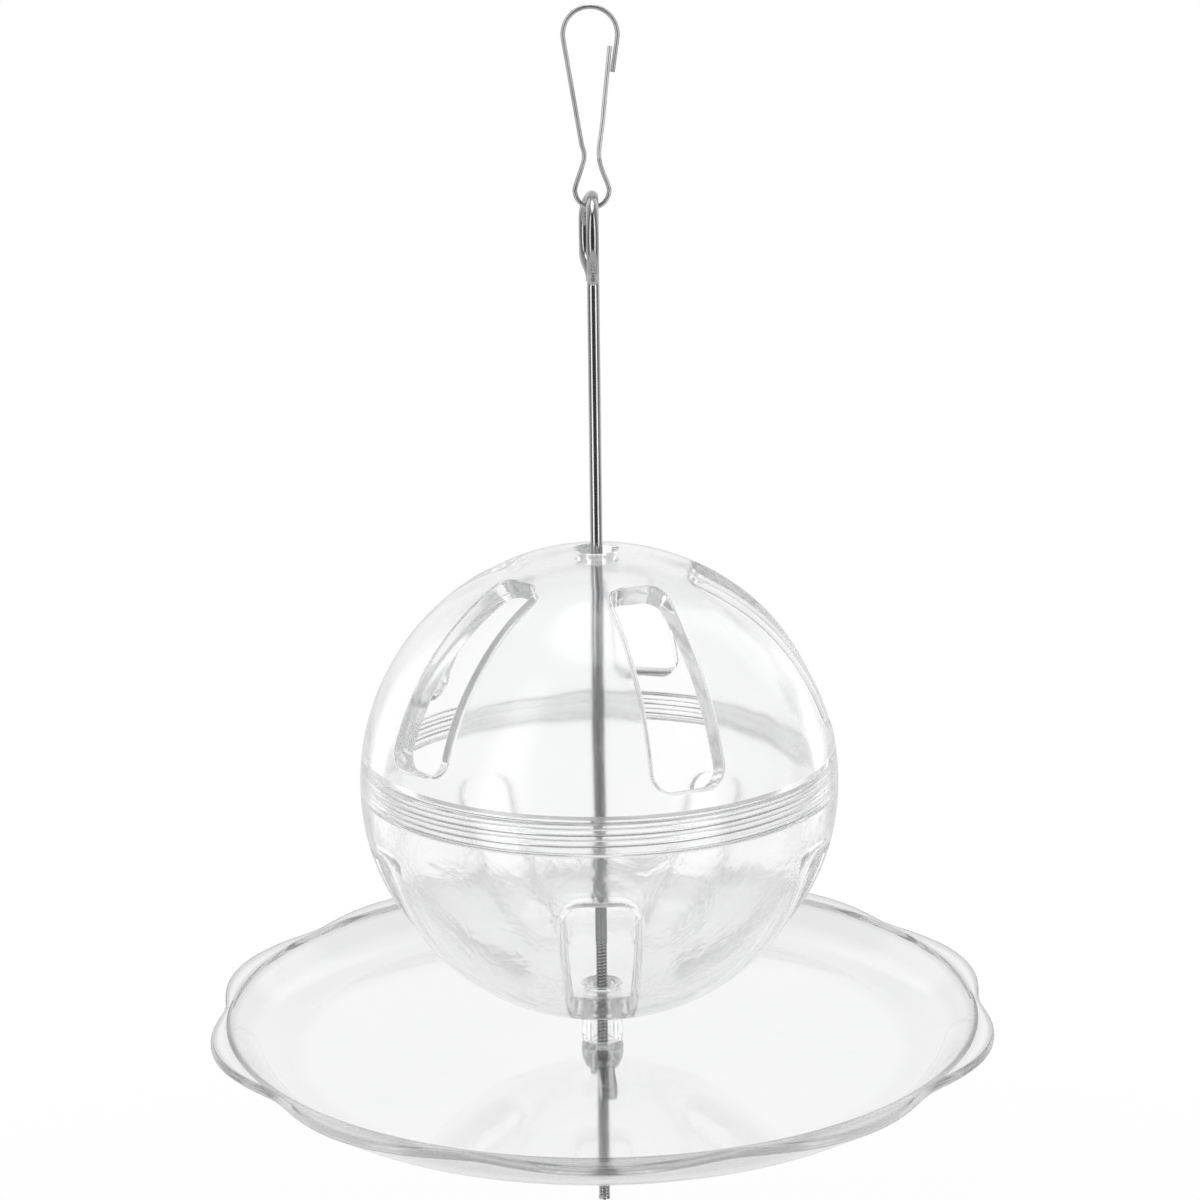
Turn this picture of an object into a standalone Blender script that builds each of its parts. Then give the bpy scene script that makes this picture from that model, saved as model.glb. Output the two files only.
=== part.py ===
"""Hanging foraging ball for a bird cage: a slotted ball of two screwed halves and a scalloped tray.

The ball and the tray turn on a steel rod whose eye hangs from a spring-wire snap clip. Lengths are
in metres and +Z is up. The origin is the point inside the top bend of the clip where it hangs.
The rod lies on the Z axis. Azimuth is measured from -Y towards +X.
"""

import math

import bmesh
import bpy
from mathutils import Vector

# Gaps between pieces
SEAT_GAP = 0.0003
RUNNING_GAP = 0.0003

# Snap clip, one bent wire
CLIP_WIRE_DIAMETER = 0.0010
CLIP_LENGTH = 0.0405
CLIP_HEAD_WIDTH = 0.0118
CLIP_FOOT_WIDTH = 0.0078
CLIP_NECK_GAP = 0.0020
CLIP_NECK_ABOVE_FOOT = 0.0098
CLIP_HOOK_DROP = 0.0128
CLIP_GATE_OVERLAP = 0.0051
CLIP_GATE_INSET = 0.00025
CLIP_FOOT_START = math.radians(165.0)
CLIP_FOOT_END = math.radians(375.0)

# Hanging rod with its eye
ROD_DIAMETER = 0.0025
ROD_LENGTH = 0.2182
ROD_TIP_CHAMFER = 0.0005
EYE_INSIDE_DIAMETER = 0.0131
EYE_NECK_LENGTH = 0.0025
EYE_JOIN_ANGLE = math.radians(50.0)
EYE_TAIL_ANGLE = math.radians(300.0)
EYE_TAIL_ASIDE = math.radians(4.0)
EYE_TAIL_RISE = 0.0008
EYE_BEND_FULLNESS = 0.42
EYE_SIDESTEP = 0.00155
EYE_SIDESTEP_START = math.radians(180.0)
EYE_SIDESTEP_LENGTH = math.radians(70.0)
NUT_SEAT_ABOVE_TIP = 0.0346

# Ball
BALL_DIAMETER = 0.1000
BALL_WALL = 0.0045
TOP_HOLE_DIAMETER = 0.0080
HOLE_CHAMFER = 0.0010
SEAT_MARGIN = 0.0010

# Slots in both halves, as angles above or below the seam
SLOT_COUNT = 5
SLOT_NEAR_SEAM = math.radians(13.3)
SLOT_NEAR_POLE = math.radians(66.5)
SLOT_WIDTH_AT_SEAM = 0.0148
SLOT_WIDTH_AT_POLE = 0.0118
SLOT_CORNER_RADIUS = 0.0040
UPPER_SLOT_AZIMUTH = math.radians(22.0)
LOWER_SLOT_AZIMUTH = 0.0

# Screw joint between the halves
COLLAR_HEIGHT = 0.0064
COLLAR_WALL = 0.0014
THREAD_PITCH = 0.0022
THREAD_HEIGHT = 0.0006
THREAD_CREST = 0.0005
THREAD_FLANK = 0.0002
THREAD_GAP = 0.0003
THREAD_ROOT_SINK = 0.0003

# Bush that the ball turns on
SLEEVE_HEIGHT = 0.0078
SLEEVE_PLAY = 0.00105
SLEEVE_WALL = 0.0021
SPIGOT_WALL = 0.0009

# Tray
TRAY_RIM_RADIUS = 0.0790
TRAY_DEPTH = 0.0084
TRAY_WALL = 0.0020
TRAY_WALL_SLOPE = math.radians(45.0)
TRAY_INNER_FILLET = 0.0100
TRAY_HOLE_PLAY = 0.0004
LIP_WAVES = 10
LIP_REACH_LEAST = 0.0017
LIP_REACH_MOST = 0.0050
LIP_PINCH_SOFTNESS = 0.25

# Wing nut
NUT_BASE_DIAMETER = 0.0090
NUT_END_DIAMETER = 0.0070
NUT_HEIGHT = 0.0055
NUT_RIM = 0.0010
WING_SPAN = 0.0200
WING_THICKNESS = 0.0034
WING_ROOT_BELOW_SEAT = 0.0014
WING_DROP = 0.0100
WING_TIP_RADIUS = 0.0026
WING_TIP_START = math.radians(60.0)
WING_TIP_END = math.radians(-110.0)
WING_AZIMUTH = math.radians(8.0)

# Clear plastic
PLASTIC_IOR = 1.49
PREVIEW_CLEARNESS = 0.7

# Mesh fineness
BALL_SEGMENTS = 50
BALL_ARC_STEPS = 9
SLOT_SIDE_STEPS = 6
CORNER_STEPS = 4
TRAY_STEPS_PER_WAVE = 8
FILLET_STEPS = 4
ROUND_SEGMENTS = 32
ROD_SIDES = 12
WIRE_SIDES = 8
EYE_STEPS = 22
BEND_STEPS = 6
HEAD_STEPS = 10
LEG_STEPS = 8
FOOT_STEPS = 7
SMOOTH_ANGLE = math.radians(30.0)

# Levels that follow, from the hang point down
CLIP_WIRE_RADIUS = CLIP_WIRE_DIAMETER / 2
CLIP_FOOT_Z = CLIP_WIRE_DIAMETER - CLIP_LENGTH + CLIP_WIRE_RADIUS
ROD_RADIUS = ROD_DIAMETER / 2
EYE_RADIUS = (EYE_INSIDE_DIAMETER + ROD_DIAMETER) / 2
EYE_TOP_Z = CLIP_FOOT_Z + CLIP_WIRE_RADIUS + SEAT_GAP + ROD_DIAMETER
EYE_CENTRE_Z = EYE_TOP_Z - ROD_RADIUS - EYE_RADIUS
ROD_TIP_Z = EYE_TOP_Z - ROD_LENGTH
NUT_SEAT_Z = ROD_TIP_Z + NUT_SEAT_ABOVE_TIP
TRAY_FLOOR_Z = NUT_SEAT_Z + SEAT_GAP + TRAY_WALL
SLEEVE_FOOT_Z = TRAY_FLOOR_Z + SEAT_GAP

# Radii that follow in the ball and its bush
BALL_RADIUS = BALL_DIAMETER / 2
CAVITY_RADIUS = BALL_RADIUS - BALL_WALL
SLEEVE_BORE_RADIUS = ROD_RADIUS + SLEEVE_PLAY
SLEEVE_RADIUS = SLEEVE_BORE_RADIUS + SLEEVE_WALL
SPIGOT_RADIUS = SLEEVE_BORE_RADIUS + SPIGOT_WALL
BOTTOM_HOLE_RADIUS = SPIGOT_RADIUS + RUNNING_GAP
TOP_HOLE_RADIUS = TOP_HOLE_DIAMETER / 2
BALL_SEAT_RADIUS = SLEEVE_RADIUS + SEAT_MARGIN
BALL_SEAT_DEPTH = math.sqrt(BALL_RADIUS ** 2 - BALL_SEAT_RADIUS ** 2)
BALL_CENTRE_Z = SLEEVE_FOOT_Z + SLEEVE_HEIGHT + SEAT_GAP + BALL_SEAT_DEPTH
MALE_ROOT_RADIUS = CAVITY_RADIUS + COLLAR_WALL
MALE_CREST_RADIUS = MALE_ROOT_RADIUS + THREAD_HEIGHT
FEMALE_CREST_RADIUS = MALE_ROOT_RADIUS + THREAD_GAP
FEMALE_ROOT_RADIUS = MALE_CREST_RADIUS + THREAD_GAP
SPIGOT_HEIGHT = BALL_SEAT_DEPTH - CAVITY_RADIUS + SEAT_GAP


def clear_scene():
    """Remove every object that the file opened with."""
    for item in list(bpy.data.objects):
        bpy.data.objects.remove(item, do_unlink=True)


def make_material(name, colour, roughness, metallic=0.0, transmission=0.0):
    """Make a Principled material from a colour and a finish."""
    material = bpy.data.materials.new(name)
    material.use_nodes = True
    shader = material.node_tree.nodes["Principled BSDF"]
    shader.inputs["Base Color"].default_value = (*colour, 1.0)
    shader.inputs["Roughness"].default_value = roughness
    shader.inputs["Metallic"].default_value = metallic
    shader.inputs["Transmission Weight"].default_value = transmission
    shader.inputs["IOR"].default_value = PLASTIC_IOR
    material.diffuse_color = (*colour, 1.0 - PREVIEW_CLEARNESS * transmission)
    return material


def make_object(name, bm, material, location=(0.0, 0.0, 0.0), parent=None):
    """Turn a bmesh into a smooth-shaded object at its own origin."""
    bmesh.ops.recalc_face_normals(bm, faces=bm.faces)
    mesh = bpy.data.meshes.new(name)
    bm.to_mesh(mesh)
    bm.free()
    mesh.materials.append(material)
    mesh.shade_smooth()
    mesh.set_sharp_from_angle(angle=SMOOTH_ANGLE)
    piece = bpy.data.objects.new(name, mesh)
    piece.location = location
    piece.parent = parent
    bpy.context.collection.objects.link(piece)
    return piece


def combine(target, tool, operation):
    """Join a tool shape to a piece, or cut it away, with a Boolean that stays on the piece."""
    tool.hide_render = True
    tool.display_type = "WIRE"
    modifier = target.modifiers.new(tool.name, "BOOLEAN")
    modifier.operation = operation
    modifier.solver = "EXACT"
    modifier.object = tool


def around(radius, azimuth, height):
    """Give the point at a radius, an azimuth from -Y towards +X, and a height."""
    return Vector((radius * math.sin(azimuth), -radius * math.cos(azimuth), height))


def bridge(bm, rings, close_last):
    """Join equal rings of vertices with quads, and the last ring to the first where asked."""
    pairs = list(zip(rings, rings[1:]))
    if close_last:
        pairs.append((rings[-1], rings[0]))
    for first, second in pairs:
        count = len(first)
        for i in range(count):
            j = (i + 1) % count
            bm.faces.new((first[i], first[j], second[j], second[i]))


def turned(profile, segments):
    """Spin a closed profile of (radius, height) points, or of functions of azimuth, round Z."""
    bm = bmesh.new()
    rings = []
    for i in range(segments):
        azimuth = 2 * math.pi * i / segments
        points = profile(azimuth) if callable(profile) else profile
        rings.append([bm.verts.new(around(radius, azimuth, height)) for radius, height in points])
    bridge(bm, rings, close_last=True)
    return bm


def swept(path, radii, sides):
    """Sweep a round section along a path, with a radius for each point and flat ends."""
    bm = bmesh.new()
    rings = []
    tangents = []
    for i, point in enumerate(path):
        before = path[max(i - 1, 0)]
        after = path[min(i + 1, len(path) - 1)]
        tangents.append((after - before).normalized())
    side = tangents[0].orthogonal().normalized()
    for point, tangent, radius in zip(path, tangents, radii):
        side = (side - tangent * side.dot(tangent)).normalized()
        other = tangent.cross(side)
        ring = []
        for i in range(sides):
            turn = 2 * math.pi * i / sides
            ring.append(bm.verts.new(point + (side * math.cos(turn) + other * math.sin(turn)) * radius))
        rings.append(ring)
    bridge(bm, rings, close_last=False)
    bm.faces.new(rings[0])
    bm.faces.new(rings[-1])
    return bm


def smooth_path(points, steps):
    """Run a Catmull-Rom curve through points, with a number of steps for each stretch."""
    padded = [points[0] * 2 - points[1], *points, points[-1] * 2 - points[-2]]
    path = []
    for a, b, c, d in zip(padded, padded[1:], padded[2:], padded[3:]):
        for step in range(steps):
            t = step / steps
            path.append(
                0.5 * (2 * b + (c - a) * t + (2 * a - 5 * b + 4 * c - d) * t ** 2
                       + (3 * b - 3 * c + d - a) * t ** 3)
            )
    path.append(points[-1])
    return path


def arc_points(centre, radius, start, end, steps):
    """List the points of an arc in a flat profile, ends included."""
    return [
        (centre[0] + radius * math.cos(start + (end - start) * i / steps),
         centre[1] + radius * math.sin(start + (end - start) * i / steps))
        for i in range(steps + 1)
    ]


def clip_paths():
    """Route the clip's wire in the XZ plane: the hook with the foot, and the gate apart from it."""
    head = CLIP_HEAD_WIDTH / 2 - CLIP_WIRE_RADIUS
    foot = CLIP_FOOT_WIDTH / 2 - CLIP_WIRE_RADIUS
    neck = CLIP_NECK_GAP / 2 + CLIP_WIRE_RADIUS
    head_z = CLIP_WIRE_RADIUS - head
    foot_z = CLIP_FOOT_Z + foot
    neck_z = CLIP_FOOT_Z + CLIP_NECK_ABOVE_FOOT
    hook_end_z = CLIP_WIRE_RADIUS - CLIP_HOOK_DROP
    gate_end_z = hook_end_z + CLIP_GATE_OVERLAP
    gate_end_x = head - CLIP_WIRE_DIAMETER - SEAT_GAP - CLIP_GATE_INSET
    gate_slope = (gate_end_x - neck) / (gate_end_z - neck_z)
    hook_end_x = neck + gate_slope * (hook_end_z - neck_z) + CLIP_WIRE_DIAMETER + SEAT_GAP

    points = [Vector((hook_end_x, 0, hook_end_z))]
    below = math.atan2(neck_z - head_z, -neck) + 2 * math.pi
    leave = below - math.acos(head / math.hypot(neck, head_z - neck_z))
    for x, z in arc_points((0, head_z), head, 0, leave, HEAD_STEPS):
        points.append(Vector((x, 0, z)))
    top = points[-1]
    points += [top.lerp(Vector((-neck, 0, neck_z)), i / LEG_STEPS) for i in range(1, LEG_STEPS + 1)]
    for x, z in arc_points((0, foot_z), foot, CLIP_FOOT_START, CLIP_FOOT_END, FOOT_STEPS):
        points.append(Vector((x, 0, z)))
    pivot = Vector((neck, 0, neck_z))
    points.append(pivot)
    hook = smooth_path(points, 2)
    along = (hook[-1] - hook[-2]).normalized()
    hook[-1] = pivot - along * SEAT_GAP / 2

    gate_end = Vector((gate_end_x, 0, gate_end_z))
    towards = (gate_end - pivot).normalized()
    gate = [pivot + towards * SEAT_GAP / 2]
    gate += [pivot.lerp(gate_end, i / BEND_STEPS) for i in range(1, BEND_STEPS + 1)]
    return hook, gate, pivot


def build_clip(root, steel):
    """Build the clip's hook and its springy gate."""
    hook, gate, pivot = clip_paths()
    make_object("clip_hook", swept(hook, [CLIP_WIRE_RADIUS] * len(hook), WIRE_SIDES), steel, parent=root)
    gate = [point - pivot for point in gate]
    make_object("clip_gate", swept(gate, [CLIP_WIRE_RADIUS] * len(gate), WIRE_SIDES), steel, pivot, root)


def eye_point(turn):
    """Give the middle of the eye's wire at a turn, from the bottom forwards, up and over to the back."""
    late = min(max((turn - EYE_SIDESTEP_START) / EYE_SIDESTEP_LENGTH, 0.0), 1.0)
    aside = -EYE_SIDESTEP * late * late * (3 - 2 * late)
    return Vector((aside, -EYE_RADIUS * math.sin(turn), EYE_CENTRE_Z - EYE_RADIUS * math.cos(turn)))


def eye_direction(turn):
    """Give the direction in which the eye's wire runs at a turn."""
    return Vector((0, -math.cos(turn), math.sin(turn)))


def bend(start, leaving, end, arriving):
    """List the points of a smooth bend after its start, from one direction into another."""
    reach = (end - start).length * EYE_BEND_FULLNESS
    first = start + leaving * reach
    last = end - arriving * reach
    shares = [i / BEND_STEPS for i in range(1, BEND_STEPS + 1)]
    return [
        (1 - t) ** 3 * start + 3 * (1 - t) ** 2 * t * first + 3 * (1 - t) * t ** 2 * last + t ** 3 * end
        for t in shares
    ]


def rod_path(swing_z):
    """Route the rod from its tip up to the eye, round it and down again behind the rod."""
    up = Vector((0, 0, 1))
    neck_z = EYE_CENTRE_Z - EYE_RADIUS - EYE_NECK_LENGTH
    neck = Vector((0, 0, neck_z))
    path = [Vector((0, 0, ROD_TIP_Z)), Vector((0, 0, ROD_TIP_Z + ROD_TIP_CHAMFER)), neck]
    path += bend(neck, up, eye_point(EYE_JOIN_ANGLE), eye_direction(EYE_JOIN_ANGLE))
    for i in range(1, EYE_STEPS + 1):
        path.append(eye_point(EYE_JOIN_ANGLE + (EYE_TAIL_ANGLE - EYE_JOIN_ANGLE) * i / EYE_STEPS))
    beside = ROD_DIAMETER + RUNNING_GAP
    behind = Vector((-math.sin(EYE_TAIL_ASIDE), math.cos(EYE_TAIL_ASIDE), 0)) * beside
    tail = neck + behind + up * EYE_TAIL_RISE
    path += bend(path[-1], eye_direction(EYE_TAIL_ANGLE), tail, -up)
    return [point - Vector((0, 0, swing_z)) for point in path]


def build_rod(root, steel):
    """Build the rod with its eye, on the axis of the clip's foot, which it swings about."""
    path = rod_path(CLIP_FOOT_Z)
    radii = [ROD_RADIUS - ROD_TIP_CHAMFER] + [ROD_RADIUS] * (len(path) - 1)
    make_object("hanging_rod", swept(path, radii, ROD_SIDES), steel, (0, 0, CLIP_FOOT_Z), root)


def slot_outline(upward):
    """Outline a tapered slot with round corners as (side distance, angle from the seam) pairs."""
    low = SLOT_NEAR_SEAM
    high = SLOT_NEAR_POLE
    wide = SLOT_WIDTH_AT_SEAM / 2
    narrow = SLOT_WIDTH_AT_POLE / 2
    corner = SLOT_CORNER_RADIUS
    corner_angle = corner / BALL_RADIUS
    points = []
    for side, level, half, start in (
        (1, low, wide, -90), (1, high, narrow, 0), (-1, high, narrow, 90), (-1, low, wide, 180),
    ):
        inward = 1 if level == low else -1
        centre = (side * (half - corner), level + inward * corner_angle)
        for i in range(CORNER_STEPS + 1):
            turn = math.radians(start + 90 * i / CORNER_STEPS)
            points.append((centre[0] + corner * math.cos(turn), centre[1] + corner_angle * math.sin(turn)))
        if level == low and side == 1 or level == high and side == -1:
            far_half = narrow if level == low else wide
            far_level = high - corner_angle if level == low else low + corner_angle
            for i in range(1, SLOT_SIDE_STEPS):
                t = i / SLOT_SIDE_STEPS
                points.append((side * (half + (far_half - half) * t),
                               centre[1] + (far_level - centre[1]) * t))
    return [(side, angle if upward else -angle) for side, angle in points]


def slot_cutter(name, azimuth, upward, parent):
    """Make one cutter whose sides point at the ball's centre and whose flat ends clear the wall."""
    bm = bmesh.new()
    rings = []
    outer_reach = (BALL_RADIUS + BALL_WALL) / math.cos((SLOT_NEAR_POLE - SLOT_NEAR_SEAM) / 2)
    for radius in (CAVITY_RADIUS - BALL_WALL, outer_reach):
        ring = []
        for side, angle in slot_outline(upward):
            turn = azimuth + side / (BALL_RADIUS * math.cos(angle))
            ring.append(bm.verts.new(around(radius * math.cos(angle), turn, radius * math.sin(angle))))
        rings.append(ring)
    bridge(bm, rings, close_last=False)
    bm.faces.new(rings[0])
    bm.faces.new(rings[1])
    return make_object(name, bm, parent.data.materials[0], parent=parent)


def thread_ridge(name, phase, root, crest, crest_width, base_width, parent):
    """Sweep one helical ridge of a screw thread whose root is sunk in its wall."""
    bm = bmesh.new()
    margin = base_width
    turns = (COLLAR_HEIGHT - 2 * margin) / THREAD_PITCH
    steps = max(2, round(turns * BALL_SEGMENTS))
    sink = THREAD_ROOT_SINK if root < crest else -THREAD_ROOT_SINK
    rings = []
    for i in range(steps + 1):
        share = i / BALL_SEGMENTS
        azimuth = phase + 2 * math.pi * share
        middle = margin + THREAD_PITCH * share
        rings.append([
            bm.verts.new(around(radius, azimuth, middle + rise))
            for radius, rise in (
                (root - sink, -base_width / 2), (root, -base_width / 2), (crest, -crest_width / 2),
                (crest, crest_width / 2), (root, base_width / 2), (root - sink, base_width / 2),
            )
        ])
    bridge(bm, rings, close_last=False)
    bm.faces.new(rings[0])
    bm.faces.new(rings[-1])
    return make_object(name, bm, parent.data.materials[0], parent=parent)


def cavity_angle(height):
    """Give the angle above the seam at which the ball's cavity reaches a height."""
    return math.asin(height / CAVITY_RADIUS)


def lower_half_profile():
    """Profile the lower half: seat, outer wall, shoulder, collar, cavity and hole."""
    seat_angle = math.asin(BALL_SEAT_DEPTH / BALL_RADIUS)
    shoulder = -SEAT_GAP / 2
    hole = BOTTOM_HOLE_RADIUS
    flare = hole + HOLE_CHAMFER
    flare_angle = math.acos(flare / CAVITY_RADIUS)
    outer = arc_points((0, 0), BALL_RADIUS, -seat_angle, math.asin(shoulder / BALL_RADIUS), BALL_ARC_STEPS)
    inner = arc_points((0, 0), CAVITY_RADIUS, cavity_angle(COLLAR_HEIGHT), -flare_angle, BALL_ARC_STEPS)
    collar = [(MALE_ROOT_RADIUS, shoulder), (MALE_ROOT_RADIUS, COLLAR_HEIGHT)]
    countersink = [(hole, inner[-1][1] - HOLE_CHAMFER), (hole, -BALL_SEAT_DEPTH)]
    return outer + collar + inner + countersink


def upper_half_profile():
    """Profile the upper half: skirt, outer wall, hole, cavity and the recess for the collar."""
    edge = SEAT_GAP / 2
    recess_top = COLLAR_HEIGHT + SEAT_GAP
    hole = TOP_HOLE_RADIUS
    flare_angle = math.acos((hole + HOLE_CHAMFER) / BALL_RADIUS)
    outer = arc_points((0, 0), BALL_RADIUS, math.asin(edge / BALL_RADIUS), flare_angle, BALL_ARC_STEPS)
    hole_angle = math.acos(hole / CAVITY_RADIUS)
    inner = arc_points((0, 0), CAVITY_RADIUS, hole_angle, cavity_angle(recess_top), BALL_ARC_STEPS)
    countersink = [(hole, outer[-1][1] - HOLE_CHAMFER)]
    recess = [(FEMALE_ROOT_RADIUS, recess_top), (FEMALE_ROOT_RADIUS, edge)]
    return outer + countersink + inner + recess


def build_ball_half(name, profile, upward, azimuth, ridge, root, plastic):
    """Build one half of the ball: a turned shell with its thread added and its slots cut."""
    centre = (0, 0, BALL_CENTRE_Z)
    half = make_object(name, turned(profile, BALL_SEGMENTS), plastic, centre, root)
    combine(half, thread_ridge(name + "_thread", *ridge, half), "UNION")
    for i in range(SLOT_COUNT):
        turn = azimuth + 2 * math.pi * i / SLOT_COUNT
        combine(half, slot_cutter(f"{name}_slot_{i + 1}", turn, upward, half), "DIFFERENCE")


def build_ball(root, plastic):
    """Build both halves, with the inside thread half a pitch from the outside thread."""
    male_base = THREAD_CREST + 2 * THREAD_FLANK
    engaged = (MALE_CREST_RADIUS - FEMALE_CREST_RADIUS) / THREAD_HEIGHT
    female_crest = THREAD_PITCH - THREAD_CREST - 2 * THREAD_FLANK * engaged - 2 * THREAD_GAP
    female_base = female_crest + 2 * THREAD_FLANK
    male = (0.0, MALE_ROOT_RADIUS, MALE_CREST_RADIUS, THREAD_CREST, male_base)
    phase = math.pi + 2 * math.pi * (female_base - male_base) / THREAD_PITCH
    female = (phase, FEMALE_ROOT_RADIUS, FEMALE_CREST_RADIUS, female_crest, female_base)
    build_ball_half("ball_lower_half", lower_half_profile(), False, LOWER_SLOT_AZIMUTH, male, root, plastic)
    build_ball_half("ball_upper_half", upper_half_profile(), True, UPPER_SLOT_AZIMUTH, female, root, plastic)


def build_sleeve(root, plastic):
    """Build the stepped bush that stands on the tray and carries the ball."""
    profile = [
        (SLEEVE_BORE_RADIUS, 0), (SLEEVE_RADIUS, 0), (SLEEVE_RADIUS, SLEEVE_HEIGHT),
        (SPIGOT_RADIUS, SLEEVE_HEIGHT), (SPIGOT_RADIUS, SLEEVE_HEIGHT + SPIGOT_HEIGHT),
        (SLEEVE_BORE_RADIUS, SLEEVE_HEIGHT + SPIGOT_HEIGHT),
    ]
    make_object("spacer_sleeve", turned(profile, ROUND_SEGMENTS), plastic, (0, 0, SLEEVE_FOOT_Z), root)


def lip_reach(azimuth):
    """Give how far the lip stands out of the rim at an azimuth: round lobes with tight pinches."""
    swing = math.cos(LIP_WAVES * azimuth / 2)
    soft = LIP_PINCH_SOFTNESS
    lobe = (math.hypot(swing, soft) - soft) / (math.hypot(1, soft) - soft)
    return LIP_REACH_LEAST + (LIP_REACH_MOST - LIP_REACH_LEAST) * lobe


def tray_profile(azimuth):
    """Profile the tray at an azimuth: hole, floor, flared wall and scalloped lip."""
    hole = ROD_RADIUS + TRAY_HOLE_PLAY
    slope = TRAY_WALL_SLOPE
    fillet = TRAY_INNER_FILLET
    climb = fillet * (1 - math.cos(slope))
    run = fillet * math.sin(slope) + (TRAY_DEPTH - climb) / math.tan(slope)
    centre = (TRAY_RIM_RADIUS - run, fillet)
    down = -math.pi / 2
    inner = arc_points(centre, fillet, down, down + slope, FILLET_STEPS)
    outer = arc_points(centre, fillet + TRAY_WALL, down + slope, down, FILLET_STEPS)
    edge = TRAY_RIM_RADIUS + lip_reach(azimuth)
    lip_under = TRAY_DEPTH - TRAY_WALL
    under_start = outer[0][0] + (lip_under - outer[0][1]) / math.tan(slope)
    lip = [(TRAY_RIM_RADIUS, TRAY_DEPTH), (edge, TRAY_DEPTH), (edge, lip_under), (under_start, lip_under)]
    return [(hole, 0)] + inner + lip + outer + [(hole, -TRAY_WALL)]


def build_tray(root, plastic):
    """Build the shallow tray, seated on the nut."""
    segments = LIP_WAVES * TRAY_STEPS_PER_WAVE
    make_object("tray", turned(tray_profile, segments), plastic, (0, 0, TRAY_FLOOR_Z), root)


def wing_outline():
    """Outline both wings as one plate of (distance, height) points below the nut's seat."""
    reach = WING_SPAN / 2
    tip = WING_TIP_RADIUS
    inside = NUT_END_DIAMETER / 2
    right = [(inside, -WING_ROOT_BELOW_SEAT)]
    centre = (reach - tip, tip - WING_DROP)
    right += arc_points(centre, tip, WING_TIP_START, WING_TIP_END, 2 * CORNER_STEPS)
    right += [(inside, -NUT_HEIGHT + NUT_RIM)]
    left = [(-distance, height) for distance, height in reversed(right)]
    return right + left


def build_nut(root, plastic):
    """Build the wing nut: a tapered boss with two wings, bored for the rod."""
    base = NUT_BASE_DIAMETER / 2
    hole = ROD_RADIUS + RUNNING_GAP
    boss_path = [Vector((0, 0, height)) for height in (0, -NUT_RIM, -NUT_HEIGHT)]
    boss = swept(boss_path, [base, base, NUT_END_DIAMETER / 2], ROUND_SEGMENTS)
    nut = make_object("wing_nut", boss, plastic, (0, 0, NUT_SEAT_Z), root)
    nut.rotation_euler = (0, 0, WING_AZIMUTH)

    bm = bmesh.new()
    rings = []
    for side in (-WING_THICKNESS / 2, WING_THICKNESS / 2):
        rings.append([bm.verts.new((side, distance, height)) for distance, height in wing_outline()])
    bridge(bm, rings, close_last=False)
    bm.faces.new(rings[0])
    bm.faces.new(rings[1])
    combine(nut, make_object("wing_nut_wings", bm, plastic, parent=nut), "UNION")

    bore_path = [Vector((0, 0, height)) for height in (NUT_HEIGHT, -WING_DROP - NUT_HEIGHT)]
    bore = swept(bore_path, [hole, hole], ROUND_SEGMENTS)
    combine(nut, make_object("wing_nut_bore", bore, plastic, parent=nut), "DIFFERENCE")


def main():
    """Build the whole toy under one empty at the hang point."""
    clear_scene()
    root = bpy.data.objects.new("foraging_toy", None)
    bpy.context.collection.objects.link(root)
    spring_steel = make_material("spring_steel", (0.72, 0.72, 0.74), 0.25, metallic=1.0)
    rod_steel = make_material("rod_steel", (0.55, 0.55, 0.57), 0.30, metallic=1.0)
    clear_plastic = make_material("clear_plastic", (0.96, 0.97, 0.97), 0.05, transmission=1.0)
    build_clip(root, spring_steel)
    build_rod(root, rod_steel)
    build_ball(root, clear_plastic)
    build_sleeve(root, clear_plastic)
    build_tray(root, clear_plastic)
    build_nut(root, clear_plastic)


main()
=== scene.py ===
"""Studio scene of a hanging foraging ball for a bird cage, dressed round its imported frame.

Lengths are metres and angles radians unless a name says otherwise. +Z is up, the origin is where the
clip hangs, and azimuth runs from -Y, where the camera stands, towards +X.
"""

import logging
import math
from collections.abc import Sequence
from dataclasses import dataclass, replace
from enum import Enum

import bmesh
import bpy
from mathutils import Matrix, Vector


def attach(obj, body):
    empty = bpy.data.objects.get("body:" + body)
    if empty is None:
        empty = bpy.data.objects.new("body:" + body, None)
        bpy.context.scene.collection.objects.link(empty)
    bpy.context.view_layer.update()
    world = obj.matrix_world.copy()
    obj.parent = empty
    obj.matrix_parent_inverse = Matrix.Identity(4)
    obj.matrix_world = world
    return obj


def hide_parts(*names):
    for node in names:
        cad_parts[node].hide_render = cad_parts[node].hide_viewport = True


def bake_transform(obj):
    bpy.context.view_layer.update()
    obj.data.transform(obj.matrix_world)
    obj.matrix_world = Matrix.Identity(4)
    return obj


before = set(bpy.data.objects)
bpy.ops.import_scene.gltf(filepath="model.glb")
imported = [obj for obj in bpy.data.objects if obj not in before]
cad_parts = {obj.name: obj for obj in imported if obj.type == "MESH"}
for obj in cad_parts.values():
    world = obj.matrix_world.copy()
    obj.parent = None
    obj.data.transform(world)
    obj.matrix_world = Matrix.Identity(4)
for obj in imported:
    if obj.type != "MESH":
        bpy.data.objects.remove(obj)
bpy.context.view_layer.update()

LOG = logging.getLogger("foraging_toy")
MERGE_DISTANCE = 2e-6
SHARP_ANGLE = math.radians(38.0)
FULL_TURN = 2 * math.pi
RIGHT_ANGLE = math.pi / 2
# Name of the number each point carries for painted shade: how far its colour is greyed towards the finish's
# shade tint.
SHADE = "shade"
LEAST_RADIUS = 1e-5
DRIFT_RANGE = (0.25, 0.75)
SCUFF_RANGE = (0.52, 0.78)

Point2 = tuple[float, float]
Range = tuple[float, float]


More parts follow.
